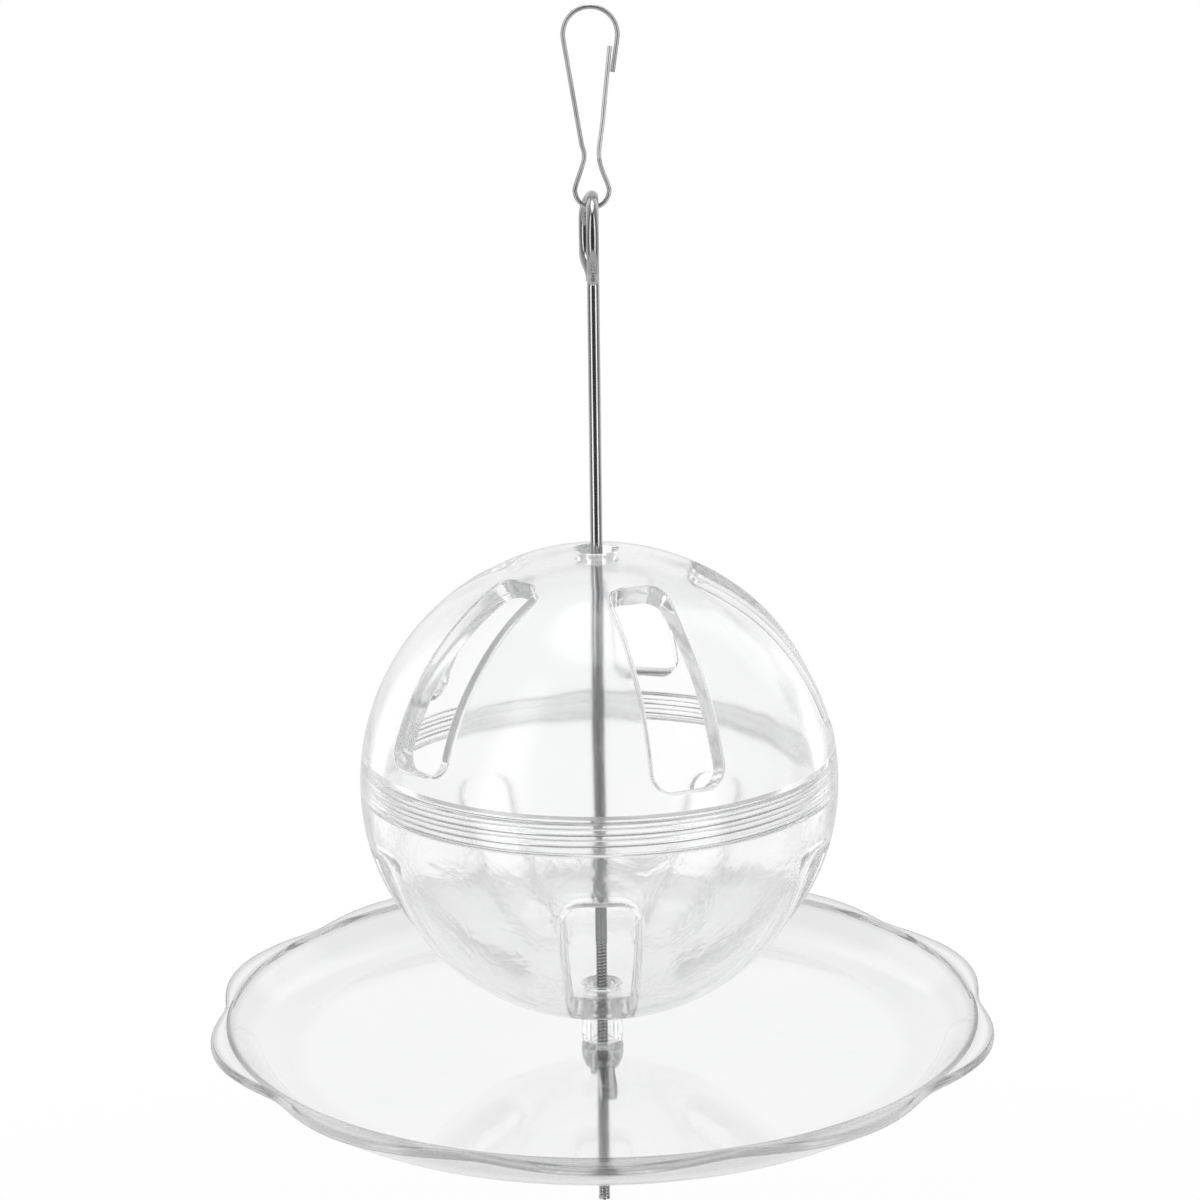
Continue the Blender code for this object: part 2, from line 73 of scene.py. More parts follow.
class Body(Enum):
    """The frame's bodies that pieces ride on."""

    CLIP = "clip"
    GATE = "gate"
    ROD = "rod"
    BUSH = "bush"
    BALL_LOWER = "ball_lower"
    BALL_UPPER = "ball_upper"
    TRAY = "catch_tray"
    NUT = "nut"


class Slot(Enum):
    """The record's material slots."""

    SPRING_STEEL = "spring_steel"
    ROD_STEEL = "rod_steel"
    CLEAR_PLASTIC = "clear_plastic"


class Half(Enum):
    """Which half of the ball a shell is."""

    UPPER = 1
    LOWER = -1


class Term:
    """A number that a node gives, with the operators of plain arithmetic."""

    def __init__(self, graph: "Graph", socket: bpy.types.NodeSocket) -> None:
        """Keep the node graph and the socket that holds the number."""
        self.graph = graph
        self.socket = socket

    def math(self, operation: str, *values: "Term | float") -> "Term":
        """Add a Math node.

        Args:
            operation: The Math node's operation.
            values: Its inputs, in order.

        Returns:
            The node's result.
        """
        node = self.graph.node("ShaderNodeMath", {"operation": operation}, dict(enumerate(values)))
        return Term(self.graph, node.outputs[0])

    def __add__(self, other: "Term | float") -> "Term":
        """Add."""
        return self.math("ADD", self, other)

    def __radd__(self, other: float) -> "Term":
        """Add to a plain number."""
        return self.math("ADD", other, self)

    def __sub__(self, other: "Term | float") -> "Term":
        """Subtract."""
        return self.math("SUBTRACT", self, other)

    def __rsub__(self, other: float) -> "Term":
        """Subtract from a plain number."""
        return self.math("SUBTRACT", other, self)

    def __mul__(self, other: "Term | float") -> "Term":
        """Multiply."""
        return self.math("MULTIPLY", self, other)

    def __rmul__(self, other: float) -> "Term":
        """Multiply a plain number."""
        return self.math("MULTIPLY", other, self)

    def __truediv__(self, other: "Term | float") -> "Term":
        """Divide."""
        return self.math("DIVIDE", self, other)

    def __neg__(self) -> "Term":
        """Change sign."""
        return self.math("MULTIPLY", self, -1.0)

    def __abs__(self) -> "Term":
        """Drop the sign."""
        return self.math("ABSOLUTE", self)

    def root(self) -> "Term":
        """Take the square root."""
        return self.math("SQRT", self)

    def cosine(self) -> "Term":
        """Take the cosine."""
        return self.math("COSINE", self)

    def fraction(self) -> "Term":
        """Keep what is past the whole number below."""
        return self.math("FRACT", self)

    def largest(self, other: "Term | float") -> "Term":
        """Take the larger of two numbers."""
        return self.math("MAXIMUM", self, other)

    def clamped(self) -> "Term":
        """Hold the number between 0 and 1."""
        return self.math("MINIMUM", self.math("MAXIMUM", self, 0.0), 1.0)

    def step(self, low: "Term | float", high: "Term | float") -> "Term":
        """Rise smoothly from 0 at a low value to 1 at a high one.

        Args:
            low: Where the rise starts.
            high: Where it ends.

        Returns:
            The smooth step.
        """
        node = self.graph.node(
            "ShaderNodeMapRange", {"interpolation_type": "SMOOTHSTEP"},
            {"Value": self, "From Min": low, "From Max": high},
        )
        return Term(self.graph, node.outputs[0])


Link = Term | bpy.types.NodeSocket | float | int | str | tuple | bpy.types.Material


class Graph:
    """A node tree that nodes are added to by one method."""

    def __init__(self, tree: bpy.types.NodeTree) -> None:
        """Keep the tree."""
        self.tree = tree

    def node(self, kind: str, settings: dict | None = None, sockets: dict | None = None) -> bpy.types.Node:
        """Add a node.

        Args:
            kind: The node's type.
            settings: Its own properties, which are set first.
            sockets: A value or link for each input, by name or number.

        Returns:
            The new node.
        """
        made = self.tree.nodes.new(kind)
        for name, value in (settings or {}).items():
            setattr(made, name, value)
        for key, value in (sockets or {}).items():
            if isinstance(value, Term):
                self.tree.links.new(value.socket, made.inputs[key])
            elif isinstance(value, bpy.types.NodeSocket):
                self.tree.links.new(value, made.inputs[key])
            else:
                made.inputs[key].default_value = value
        return made

    def term(self, node: bpy.types.Node, output: int | str = 0) -> Term:
        """Take one of a node's outputs as a number."""
        return Term(self, node.outputs[output])

    def parts(self, vector: bpy.types.NodeSocket) -> tuple[Term, Term, Term]:
        """Split a vector into its three numbers."""
        split = self.node("ShaderNodeSeparateXYZ", None, {0: vector})
        return self.term(split, 0), self.term(split, 1), self.term(split, 2)

    def vector(self, x: Link, y: Link, z: Link) -> bpy.types.NodeSocket:
        """Join three numbers into a vector."""
        return self.node("ShaderNodeCombineXYZ", None, {0: x, 1: y, 2: z}).outputs[0]


def spread(x: Term, y: Term) -> Term:
    """Give the distance from the Z axis of a point at X and Y."""
    return (x * x + y * y).root()


def bearing(x: Term, y: Term) -> Term:
    """Give the azimuth of a point at X and Y."""
    return x.math("ARCTAN2", x, -y)


@dataclass(frozen=True)
class Grain:
    """A noise pattern on the piece's own coordinates."""

    scale: float
    detail: float = 2.0
    stretch: tuple[float, float, float] = (1.0, 1.0, 1.0)
    distortion: float = 0.0

    def term(self, graph: Graph) -> Term:
        """Lay the pattern.

        Args:
            graph: The material's node graph.

        Returns:
            The pattern, from 0 to 1 round a middle of about a half.
        """
        where = graph.node("ShaderNodeTexCoord").outputs["Object"]
        laid = graph.node("ShaderNodeMapping", None, {"Vector": where, "Scale": self.stretch})
        noise = graph.node(
            "ShaderNodeTexNoise", None,
            {"Vector": laid.outputs[0], "Scale": self.scale, "Detail": self.detail,
             "Distortion": self.distortion},
        )
        return graph.term(noise, 0)


@dataclass(frozen=True)
class Finish:
    """A surface with a colour that drifts, a roughness that varies, a fine relief and painted shade where its
    points carry it.
    """

    name: str
    light: tuple[float, float, float]
    dark: tuple[float, float, float]
    drift: Grain
    roughness: float
    scuff: float
    scuffs: Grain
    relief: Grain
    relief_height: float
    metallic: float = 0.0
    transmission: float = 0.0
    ior: float = 1.45
    mirror: float = 1.0
    # Grey that the colour is painted towards where a point carries painted shade.
    shade_tint: float = 1.0

    def material(self) -> bpy.types.Material:
        """Make the material, or give it back if it has been made.

        Returns:
            The Principled material of this finish.
        """
        known = bpy.data.materials.get(self.name)
        if known:
            return known
        made = bpy.data.materials.new(self.name)
        made.use_nodes = True
        graph = Graph(made.node_tree)
        shader = made.node_tree.nodes["Principled BSDF"]
        colour = graph.node(
            "ShaderNodeMix", {"data_type": "RGBA"},
            {0: self.drift.term(graph).step(*DRIFT_RANGE), 6: (*self.dark, 1.0), 7: (*self.light, 1.0)},
        )
        # Painted shade: mix the colour towards the shade grey by each point's shade number.
        if self.shade_tint < 1:
            shade = graph.node("ShaderNodeAttribute", {"attribute_name": SHADE})
            colour = graph.node(
                "ShaderNodeMix", {"data_type": "RGBA"},
                {0: graph.term(shade, "Fac"), 6: colour.outputs[2], 7: (*(self.shade_tint,) * 3, 1.0)},
            )
        worn = self.scuffs.term(graph).step(*SCUFF_RANGE)
        bump = graph.node(
            "ShaderNodeBump", None,
            {"Strength": 1.0, "Distance": self.relief_height, "Height": self.relief.term(graph)},
        )
        links = made.node_tree.links
        links.new(colour.outputs[2], shader.inputs["Base Color"])
        links.new((self.roughness + self.scuff * worn).socket, shader.inputs["Roughness"])
        links.new(bump.outputs[0], shader.inputs["Normal"])
        shader.inputs["Metallic"].default_value = self.metallic
        shader.inputs["Transmission Weight"].default_value = self.transmission
        shader.inputs["IOR"].default_value = self.ior
        shader.inputs["Specular Tint"].default_value = (self.mirror, self.mirror, self.mirror, 1.0)
        return made


CLEAR_PLASTIC = Finish(
    name="clear_moulded_plastic",
    light=(0.990, 0.992, 0.992),
    dark=(0.972, 0.976, 0.977),
    drift=Grain(scale=38.0),
    roughness=0.04,
    scuff=0.04,
    scuffs=Grain(scale=420.0, detail=4.0, stretch=(1.0, 1.0, 0.35)),
    relief=Grain(scale=80.0, detail=0.0, distortion=0.3),
    relief_height=0.00005,
    transmission=1.0,
    ior=1.49,
    mirror=0.6,
)
# The shells' shade tints are the grey of the painted shade on their slot walls and thread flanks.
UPPER_SHELL = replace(
    CLEAR_PLASTIC, name="wavy_shell_plastic", roughness=0.09, relief_height=0.00024, mirror=0.45,
    shade_tint=0.12,
)
LOWER_SHELL = replace(
    UPPER_SHELL, name="rippled_shell_plastic", light=(0.998, 0.998, 0.998), dark=(0.988, 0.990, 0.990),
    roughness=0.12, relief=Grain(scale=100.0, detail=3.0, distortion=0.6), relief_height=0.00022,
    mirror=0.15, shade_tint=0.30,
)
# The tray's shade tint is the grey of its painted shade.
TRAY_PLASTIC = replace(
    CLEAR_PLASTIC, name="tray_plastic", light=(0.935, 0.937, 0.937), dark=(0.915, 0.919, 0.920),
    roughness=0.06, mirror=0.7, shade_tint=0.60,
)
BUSH_PLASTIC = replace(
    CLEAR_PLASTIC, name="bush_plastic", light=(0.985, 0.986, 0.986), dark=(0.965, 0.968, 0.968), mirror=1.0,
)
# Painted shade: the clear nut is a darker grey copy of the bush's plastic.
SHADED_NUT_PLASTIC = replace(
    BUSH_PLASTIC, name="nut_plastic_painted_shade", light=(0.500, 0.502, 0.502), dark=(0.420, 0.424, 0.425),
)
DRAWN_STEEL = Finish(
    name="drawn_rod_steel",
    light=(0.49, 0.49, 0.50),
    dark=(0.39, 0.39, 0.40),
    drift=Grain(scale=300.0, detail=3.0, stretch=(1.0, 1.0, 0.12)),
    roughness=0.16,
    scuff=0.16,
    scuffs=Grain(scale=1500.0, detail=3.0, stretch=(1.0, 1.0, 0.05)),
    relief=Grain(scale=4000.0, detail=1.0, stretch=(1.0, 1.0, 0.01)),
    relief_height=0.0000015,
    metallic=1.0,
    # Grey of the rod's painted shade.
    shade_tint=0.22,
)
NICKEL_WIRE = Finish(
    name="nickel_plated_wire",
    light=(0.54, 0.54, 0.54),
    dark=(0.40, 0.40, 0.41),
    drift=Grain(scale=140.0, detail=1.0),
    roughness=0.38,
    scuff=0.10,
    scuffs=Grain(scale=600.0, detail=2.0),
    relief=Grain(scale=300.0, detail=0.0),
    relief_height=0.000004,
    metallic=1.0,
)
# Painted light: the gate's wire is a lighter copy of the hook's wire, as if lit from its side.
PAINTED_LIGHT_GATE_WIRE = replace(NICKEL_WIRE, name="gate_wire_painted_light", light=(0.74, 0.74, 0.74), dark=(0.60, 0.60, 0.61))


def applied(carrier: bpy.types.Object) -> bpy.types.Mesh:
    """Keep what an object's modifiers make, and drop the object.

    Args:
        carrier: The object that carries the modifiers.

    Returns:
        A plain mesh.
    """
    depsgraph = bpy.context.evaluated_depsgraph_get()
    mesh = bpy.data.meshes.new_from_object(carrier.evaluated_get(depsgraph), depsgraph=depsgraph)
    bpy.data.objects.remove(carrier, do_unlink=True)
    return mesh


class Recipe:
    """A Geometry Nodes tree with named sizes, run once on a mesh and baked to a plain mesh."""

    def __init__(self, name: str, sizes: dict[str, float | int]) -> None:
        """Start a tree.

        Args:
            name: The tree's name.
            sizes: Each named input with its value: a whole number makes an integer input.
        """
        self.name = name
        self.sizes = sizes
        self.tree = bpy.data.node_groups.new(name, "GeometryNodeTree")
        interface = self.tree.interface
        interface.new_socket("Geometry", in_out="INPUT", socket_type="NodeSocketGeometry")
        self.keys: dict[str, str] = {}
        for label, value in sizes.items():
            kind = "NodeSocketInt" if isinstance(value, int) else "NodeSocketFloat"
            self.keys[label] = interface.new_socket(label, in_out="INPUT", socket_type=kind).identifier
        finish = interface.new_socket("Finish", in_out="INPUT", socket_type="NodeSocketMaterial")
        self.keys["Finish"] = finish.identifier
        interface.new_socket("Geometry", in_out="OUTPUT", socket_type="NodeSocketGeometry")
        self.graph = Graph(self.tree)
        self.inputs = self.graph.node("NodeGroupInput")

    @property
    def geometry(self) -> bpy.types.NodeSocket:
        """The mesh that goes in."""
        return self.inputs.outputs["Geometry"]

    def size(self, label: str) -> Term:
        """Take a named size as a number."""
        return self.graph.term(self.inputs, label)

    def position(self) -> tuple[Term, Term, Term]:
        """Take the coordinates of each point."""
        return self.graph.parts(self.graph.node("GeometryNodeInputPosition").outputs[0])

    def attribute(self, name: str) -> Term:
        """Take a named number that each point carries."""
        node = self.graph.node("GeometryNodeInputNamedAttribute", {"data_type": "FLOAT"}, {"Name": name})
        return self.graph.term(node, 0)

    def marked(self, geometry: bpy.types.NodeSocket, name: str, value: Term) -> bpy.types.NodeSocket:
        """Let each point carry a named number.

        Args:
            geometry: The mesh to mark.
            name: The number's name.
            value: The number.

        Returns:
            The marked mesh.
        """
        node = self.graph.node(
            "GeometryNodeStoreNamedAttribute", {"data_type": "FLOAT", "domain": "POINT"},
            {"Geometry": geometry, "Name": name, "Value": value},
        )
        return node.outputs[0]

    def moved(self, geometry: bpy.types.NodeSocket, x: Term, y: Term, z: Term) -> bpy.types.NodeSocket:
        """Put each point at new coordinates.

        Args:
            geometry: The mesh to move.
            x: New X of each point.
            y: New Y.
            z: New Z.

        Returns:
            The moved mesh.
        """
        place = self.graph.vector(x, y, z)
        node = self.graph.node("GeometryNodeSetPosition", None, {"Geometry": geometry, "Position": place})
        return node.outputs[0]

    def bake(self, result: bpy.types.NodeSocket, mesh: bpy.types.Mesh, finish: Finish) -> bpy.types.Mesh:
        """End the tree, run it on a mesh and keep what it makes.

        Args:
            result: The geometry to end the tree with.
            mesh: The mesh that goes in.
            finish: The finish that the tree sets.

        Returns:
            A plain mesh.
        """
        real = self.graph.node("GeometryNodeRealizeInstances", None, {"Geometry": result})
        dressed = self.graph.node(
            "GeometryNodeSetMaterial", None,
            {"Geometry": real.outputs[0], "Material": self.inputs.outputs["Finish"]},
        )
        self.graph.node("NodeGroupOutput", None, {"Geometry": dressed.outputs[0]})
        carrier = bpy.data.objects.new(self.name + "_carrier", mesh)
        bpy.context.collection.objects.link(carrier)
        modifier = carrier.modifiers.new(self.name, "NODES")
        modifier.node_group = self.tree
        for label, value in self.sizes.items():
            modifier[self.keys[label]] = value
        modifier[self.keys["Finish"]] = finish.material()
        return applied(carrier)


def around(radius: float, azimuth: float, height: float) -> Vector:
    """Give the point at a radius, an azimuth and a height."""
    return Vector((radius * math.sin(azimuth), -radius * math.cos(azimuth), height))


def arc(centre: Point2, radius: float, start: float, end: float, steps: int) -> list[Point2]:
    """List the points of an arc in a flat profile.

    Args:
        centre: The arc's centre.
        radius: Its radius.
        start: Its first angle.
        end: Its last angle.
        steps: How many parts it is cut into.

    Returns:
        The points, ends included.
    """
    turns = (start + (end - start) * i / steps for i in range(steps + 1))
    return [(centre[0] + radius * math.cos(turn), centre[1] + radius * math.sin(turn)) for turn in turns]


def spaced(start: Point2, end: Point2, steps: int) -> list[Point2]:
    """List evenly spaced points from one point to the next, both included."""
    return [
        (start[0] + (end[0] - start[0]) * i / steps, start[1] + (end[1] - start[1]) * i / steps)
        for i in range(steps + 1)
    ]


def rounded(profile: Sequence[Point2], radii: Sequence[float], steps: int) -> list[Point2]:
    """Round the corners of a closed flat profile.

    Args:
        profile: The corners, in order.
        radii: A radius for each corner, 0 to leave it sharp.
        steps: How many parts each round corner is cut into.

    Returns:
        The rounded profile.
    """
    points: list[Point2] = []
    count = len(profile)
    for i, radius in enumerate(radii):
        corner = Vector(profile[i])
        if radius == 0:
            points.append(tuple(corner))
            continue
        back = (Vector(profile[i - 1]) - corner).normalized()
        ahead = (Vector(profile[(i + 1) % count]) - corner).normalized()
        half = back.angle(ahead) / 2
        reach = radius / math.tan(half)
        centre = corner + (back + ahead).normalized() * (radius / math.sin(half))
        first = corner + back * reach - centre
        last = corner + ahead * reach - centre
        for k in range(steps + 1):
            spoke = first.slerp(last, k / steps).normalized() * radius
            points.append(tuple(centre + spoke))
    return points


def curve_through(points: Sequence[Vector], steps: int) -> list[Vector]:
    """Run a smooth curve through points.

    Args:
        points: The points, in order.
        steps: How many parts each stretch is cut into.

    Returns:
        The points of the curve.
    """
    padded = [points[0] * 2 - points[1], *points, points[-1] * 2 - points[-2]]
    path = []
    for a, b, c, d in zip(padded, padded[1:], padded[2:], padded[3:]):
        square = 2 * a - 5 * b + 4 * c - d
        cube = 3 * b - 3 * c + d - a
        for step in range(steps):
            t = step / steps
            path.append((2 * b + (c - a) * t + square * t ** 2 + cube * t ** 3) / 2)
    path.append(points[-1].copy())
    return path


def turned_mesh(name: str, profile: Sequence[Point2], columns: int) -> bpy.types.Mesh:
    """Spin a closed profile of (radius, height) points round Z.

    Args:
        name: The mesh's name.
        profile: The profile's points, in order.
        columns: How many columns the turn is cut into.

    Returns:
        A closed mesh.
    """
    bm = bmesh.new()
    rings = [
        [bm.verts.new(around(radius, FULL_TURN * i / columns, height)) for radius, height in profile]
        for i in range(columns)
    ]
    for ring, following in zip(rings, rings[1:] + rings[:1]):
        for j in range(len(profile)):
            k = (j + 1) % len(profile)
            bm.faces.new((ring[j], following[j], following[k], ring[k]))
    mesh = bpy.data.meshes.new(name)
    bm.to_mesh(mesh)
    bm.free()
    return mesh


def settle(
    name: str, mesh: bpy.types.Mesh, finish: Finish, slot: Slot, shift: Sequence[float] = (0.0, 0.0, 0.0),
) -> bpy.types.Object:
    """Make a finished piece of a mesh: merged, facing outwards, smooth and in its place.

    Args:
        name: The piece's name.
        mesh: Its mesh.
        finish: Its finish, set where the mesh has none yet.
        slot: The record's material slot; not used.
        shift: How far the mesh is moved to its place.

    Returns:
        The piece, at the origin, with its place in its mesh.
    """
    bm = bmesh.new()
    bm.from_mesh(mesh)
    bmesh.ops.remove_doubles(bm, verts=bm.verts, dist=MERGE_DISTANCE)
    bmesh.ops.recalc_face_normals(bm, faces=bm.faces)
    if bm.calc_volume(signed=True) < 0:
        bmesh.ops.reverse_faces(bm, faces=bm.faces)
    bm.to_mesh(mesh)
    bm.free()
    mesh.transform(Matrix.Translation(shift))
    mesh.name = name
    if not mesh.materials:
        mesh.materials.append(finish.material())
    mesh.shade_smooth()
    mesh.set_sharp_from_angle(angle=SHARP_ANGLE)
    piece = bpy.data.objects.new(name, mesh)
    bpy.context.collection.objects.link(piece)
    mesh.calc_loop_triangles()
    LOG.info("%s: %d triangles, finish %s", name, len(mesh.loop_triangles), finish.name)
    return piece


def true_sphere_normals(mesh: bpy.types.Mesh, centre: Vector, spheres: Sequence[tuple[float, int]]) -> None:
    """Give the corners that lie on spheres the spheres' own normals, so that light bends evenly there.

    Args:
        mesh: The mesh.
        centre: The spheres' centre.
        spheres: Each sphere's radius, with 1 where the surface faces out and -1 where it faces in.
    """
    normals = [Vector()] * len(mesh.loops)
    for face in mesh.polygons:
        for corner in face.loop_indices:
            spoke = mesh.vertices[mesh.loops[corner].vertex_index].co - centre
            for radius, facing in spheres:
                true = spoke.normalized() * facing
                near = abs(spoke.length - radius) < MERGE_DISTANCE
                if near and true.dot(face.normal) > math.cos(SHARP_ANGLE / 2):
                    normals[corner] = true
    mesh.normals_split_custom_set(normals)


def wire_recipe(name: str, radius: float, sides: int) -> tuple[Recipe, bpy.types.NodeSocket]:
    """Start a recipe that sweeps a round wire along the edges of a path.

    Args:
        name: The recipe's name.
        radius: The wire's radius.
        sides: How many sides the wire's section has.

    Returns:
        The recipe and the swept wire in it.
    """
    recipe = Recipe(name, {"Wire radius": radius, "Sides": sides})
    graph = recipe.graph
    path = graph.node("GeometryNodeMeshToCurve", None, {"Mesh": recipe.geometry})
    circle = graph.node(
        "GeometryNodeCurvePrimitiveCircle", None,
        {"Resolution": recipe.size("Sides"), "Radius": recipe.size("Wire radius")},
    )
    girth = recipe.attribute("girth")
    sized = graph.node("GeometryNodeSetCurveRadius", None, {"Curve": path.outputs[0], "Radius": girth})
    wire = graph.node(
        "GeometryNodeCurveToMesh", None,
        {"Curve": sized.outputs[0], "Profile Curve": circle.outputs[0], "Fill Caps": True},
    )
    return recipe, wire.outputs[0]


def path_mesh(name: str, path: Sequence[Vector], tip_round: Sequence[float]) -> bpy.types.Mesh:
    """Make a path of edges whose points carry the girth of a wire, as a share of its radius.

    Args:
        name: The mesh's name.
        path: The points, in order.
        tip_round: The girth of the points next to each end, from the end inwards, at both ends.

    Returns:
        A mesh of edges.
    """
    mesh = bpy.data.meshes.new(name)
    mesh.from_pydata(path, [(i, i + 1) for i in range(len(path) - 1)], [])
    girth = [1.0] * len(path)
    for i, share in enumerate(tip_round):
        girth[i] = share
        girth[-1 - i] = share
    mesh.attributes.new("girth", "FLOAT", "POINT").data.foreach_set("value", girth)
    return mesh


@dataclass
class SnapClip:
    """The spring-wire clip: a hook with its foot, and a gate that springs at the neck."""

    wire_radius: float = 0.000475
    length: float = 0.0405
    head: float = 0.0054
    foot: float = 0.0034
    neck: float = 0.0015
    neck_above_foot: float = 0.0098
    hook_drop: float = 0.0128
    gate_overlap: float = 0.0051
    gate_end_x: float = 0.00385
    hook_clearance: float = 0.0001
    spring_length: float = 0.0060
    spring_share: float = 0.3
    foot_start: float = math.radians(165.0)
    foot_end: float = math.radians(375.0)
    sides: int = 20
    steps: int = 6
    head_steps: int = 20
    leg_steps: int = 8
    foot_steps: int = 10
    gate_steps: int = 12

    def paths(self) -> tuple[list[Vector], list[Vector]]:
        """Route the wire in the XZ plane.

        Returns:
            The hook's path down to the neck, and the gate's path up from it.
        """
        foot_z = 3 * self.wire_radius - self.length + self.foot
        neck_z = foot_z - self.foot + self.neck_above_foot
        head_z = self.wire_radius - self.head
        hook_z = self.wire_radius - self.hook_drop
        gate_end = Vector((self.gate_end_x, 0, hook_z + self.gate_overlap))
        pivot = Vector((self.neck, 0, neck_z))
        lean = (gate_end.x - pivot.x) / (gate_end.z - pivot.z)
        hook_x = pivot.x + lean * (hook_z - pivot.z) + 2 * self.wire_radius + self.hook_clearance
        points = [Vector((hook_x, 0, hook_z))]
        rise = hook_z - head_z
        start = math.atan2(rise, hook_x) + math.acos(self.head / math.hypot(hook_x, rise))
        below = math.atan2(neck_z - head_z, -self.neck) + FULL_TURN
        leave = below - math.acos(self.head / math.hypot(self.neck, head_z - neck_z))
        points += [Vector((x, 0, z)) for x, z in arc((0, head_z), self.head, start, leave, self.head_steps)]
        top = points[-1]
        far_neck = Vector((-self.neck, 0, neck_z))
        points += [top.lerp(far_neck, i / self.leg_steps) for i in range(1, self.leg_steps + 1)]
        turned = arc((0, foot_z), self.foot, self.foot_start, self.foot_end, self.foot_steps)
        points += [Vector((x, 0, z)) for x, z in turned]
        points.append(pivot)
        share = self.spring_share
        wire = curve_through(points + [pivot.lerp(gate_end, share)], self.steps)
        last_hook = len(wire) - 1 - self.steps
        shares = (share + (1 - share) * i / self.gate_steps for i in range(self.gate_steps + 1))
        gate = wire[last_hook:-1] + [pivot.lerp(gate_end, along) for along in shares]
        return wire[: last_hook + 1], gate

    def build(self) -> list[bpy.types.Object]:
        """Sweep both wires; the gate's path runs smoothly out of the neck.

        Returns:
            The hook and the gate.
        """
        hook_path, gate_path = self.paths()
        pieces = []
        for name, path, finish in (
            ("clip_hook_wire", hook_path, NICKEL_WIRE), ("clip_gate_wire", gate_path, PAINTED_LIGHT_GATE_WIRE),
        ):
            recipe, wire = wire_recipe(name, self.wire_radius, self.sides)
            mesh = recipe.bake(wire, path_mesh(name, path, ()), finish)
            pieces.append(settle(name, mesh, finish, Slot.SPRING_STEEL))
        hook, gate = pieces
        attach(hook, Body.CLIP.value)
        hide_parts("clip_hook")
        start = gate_path[0]
        end = start + (gate_path[-1] - start).normalized() * self.spring_length
        tuple(start)
        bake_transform(gate)
        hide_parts("clip_gate")
        return pieces


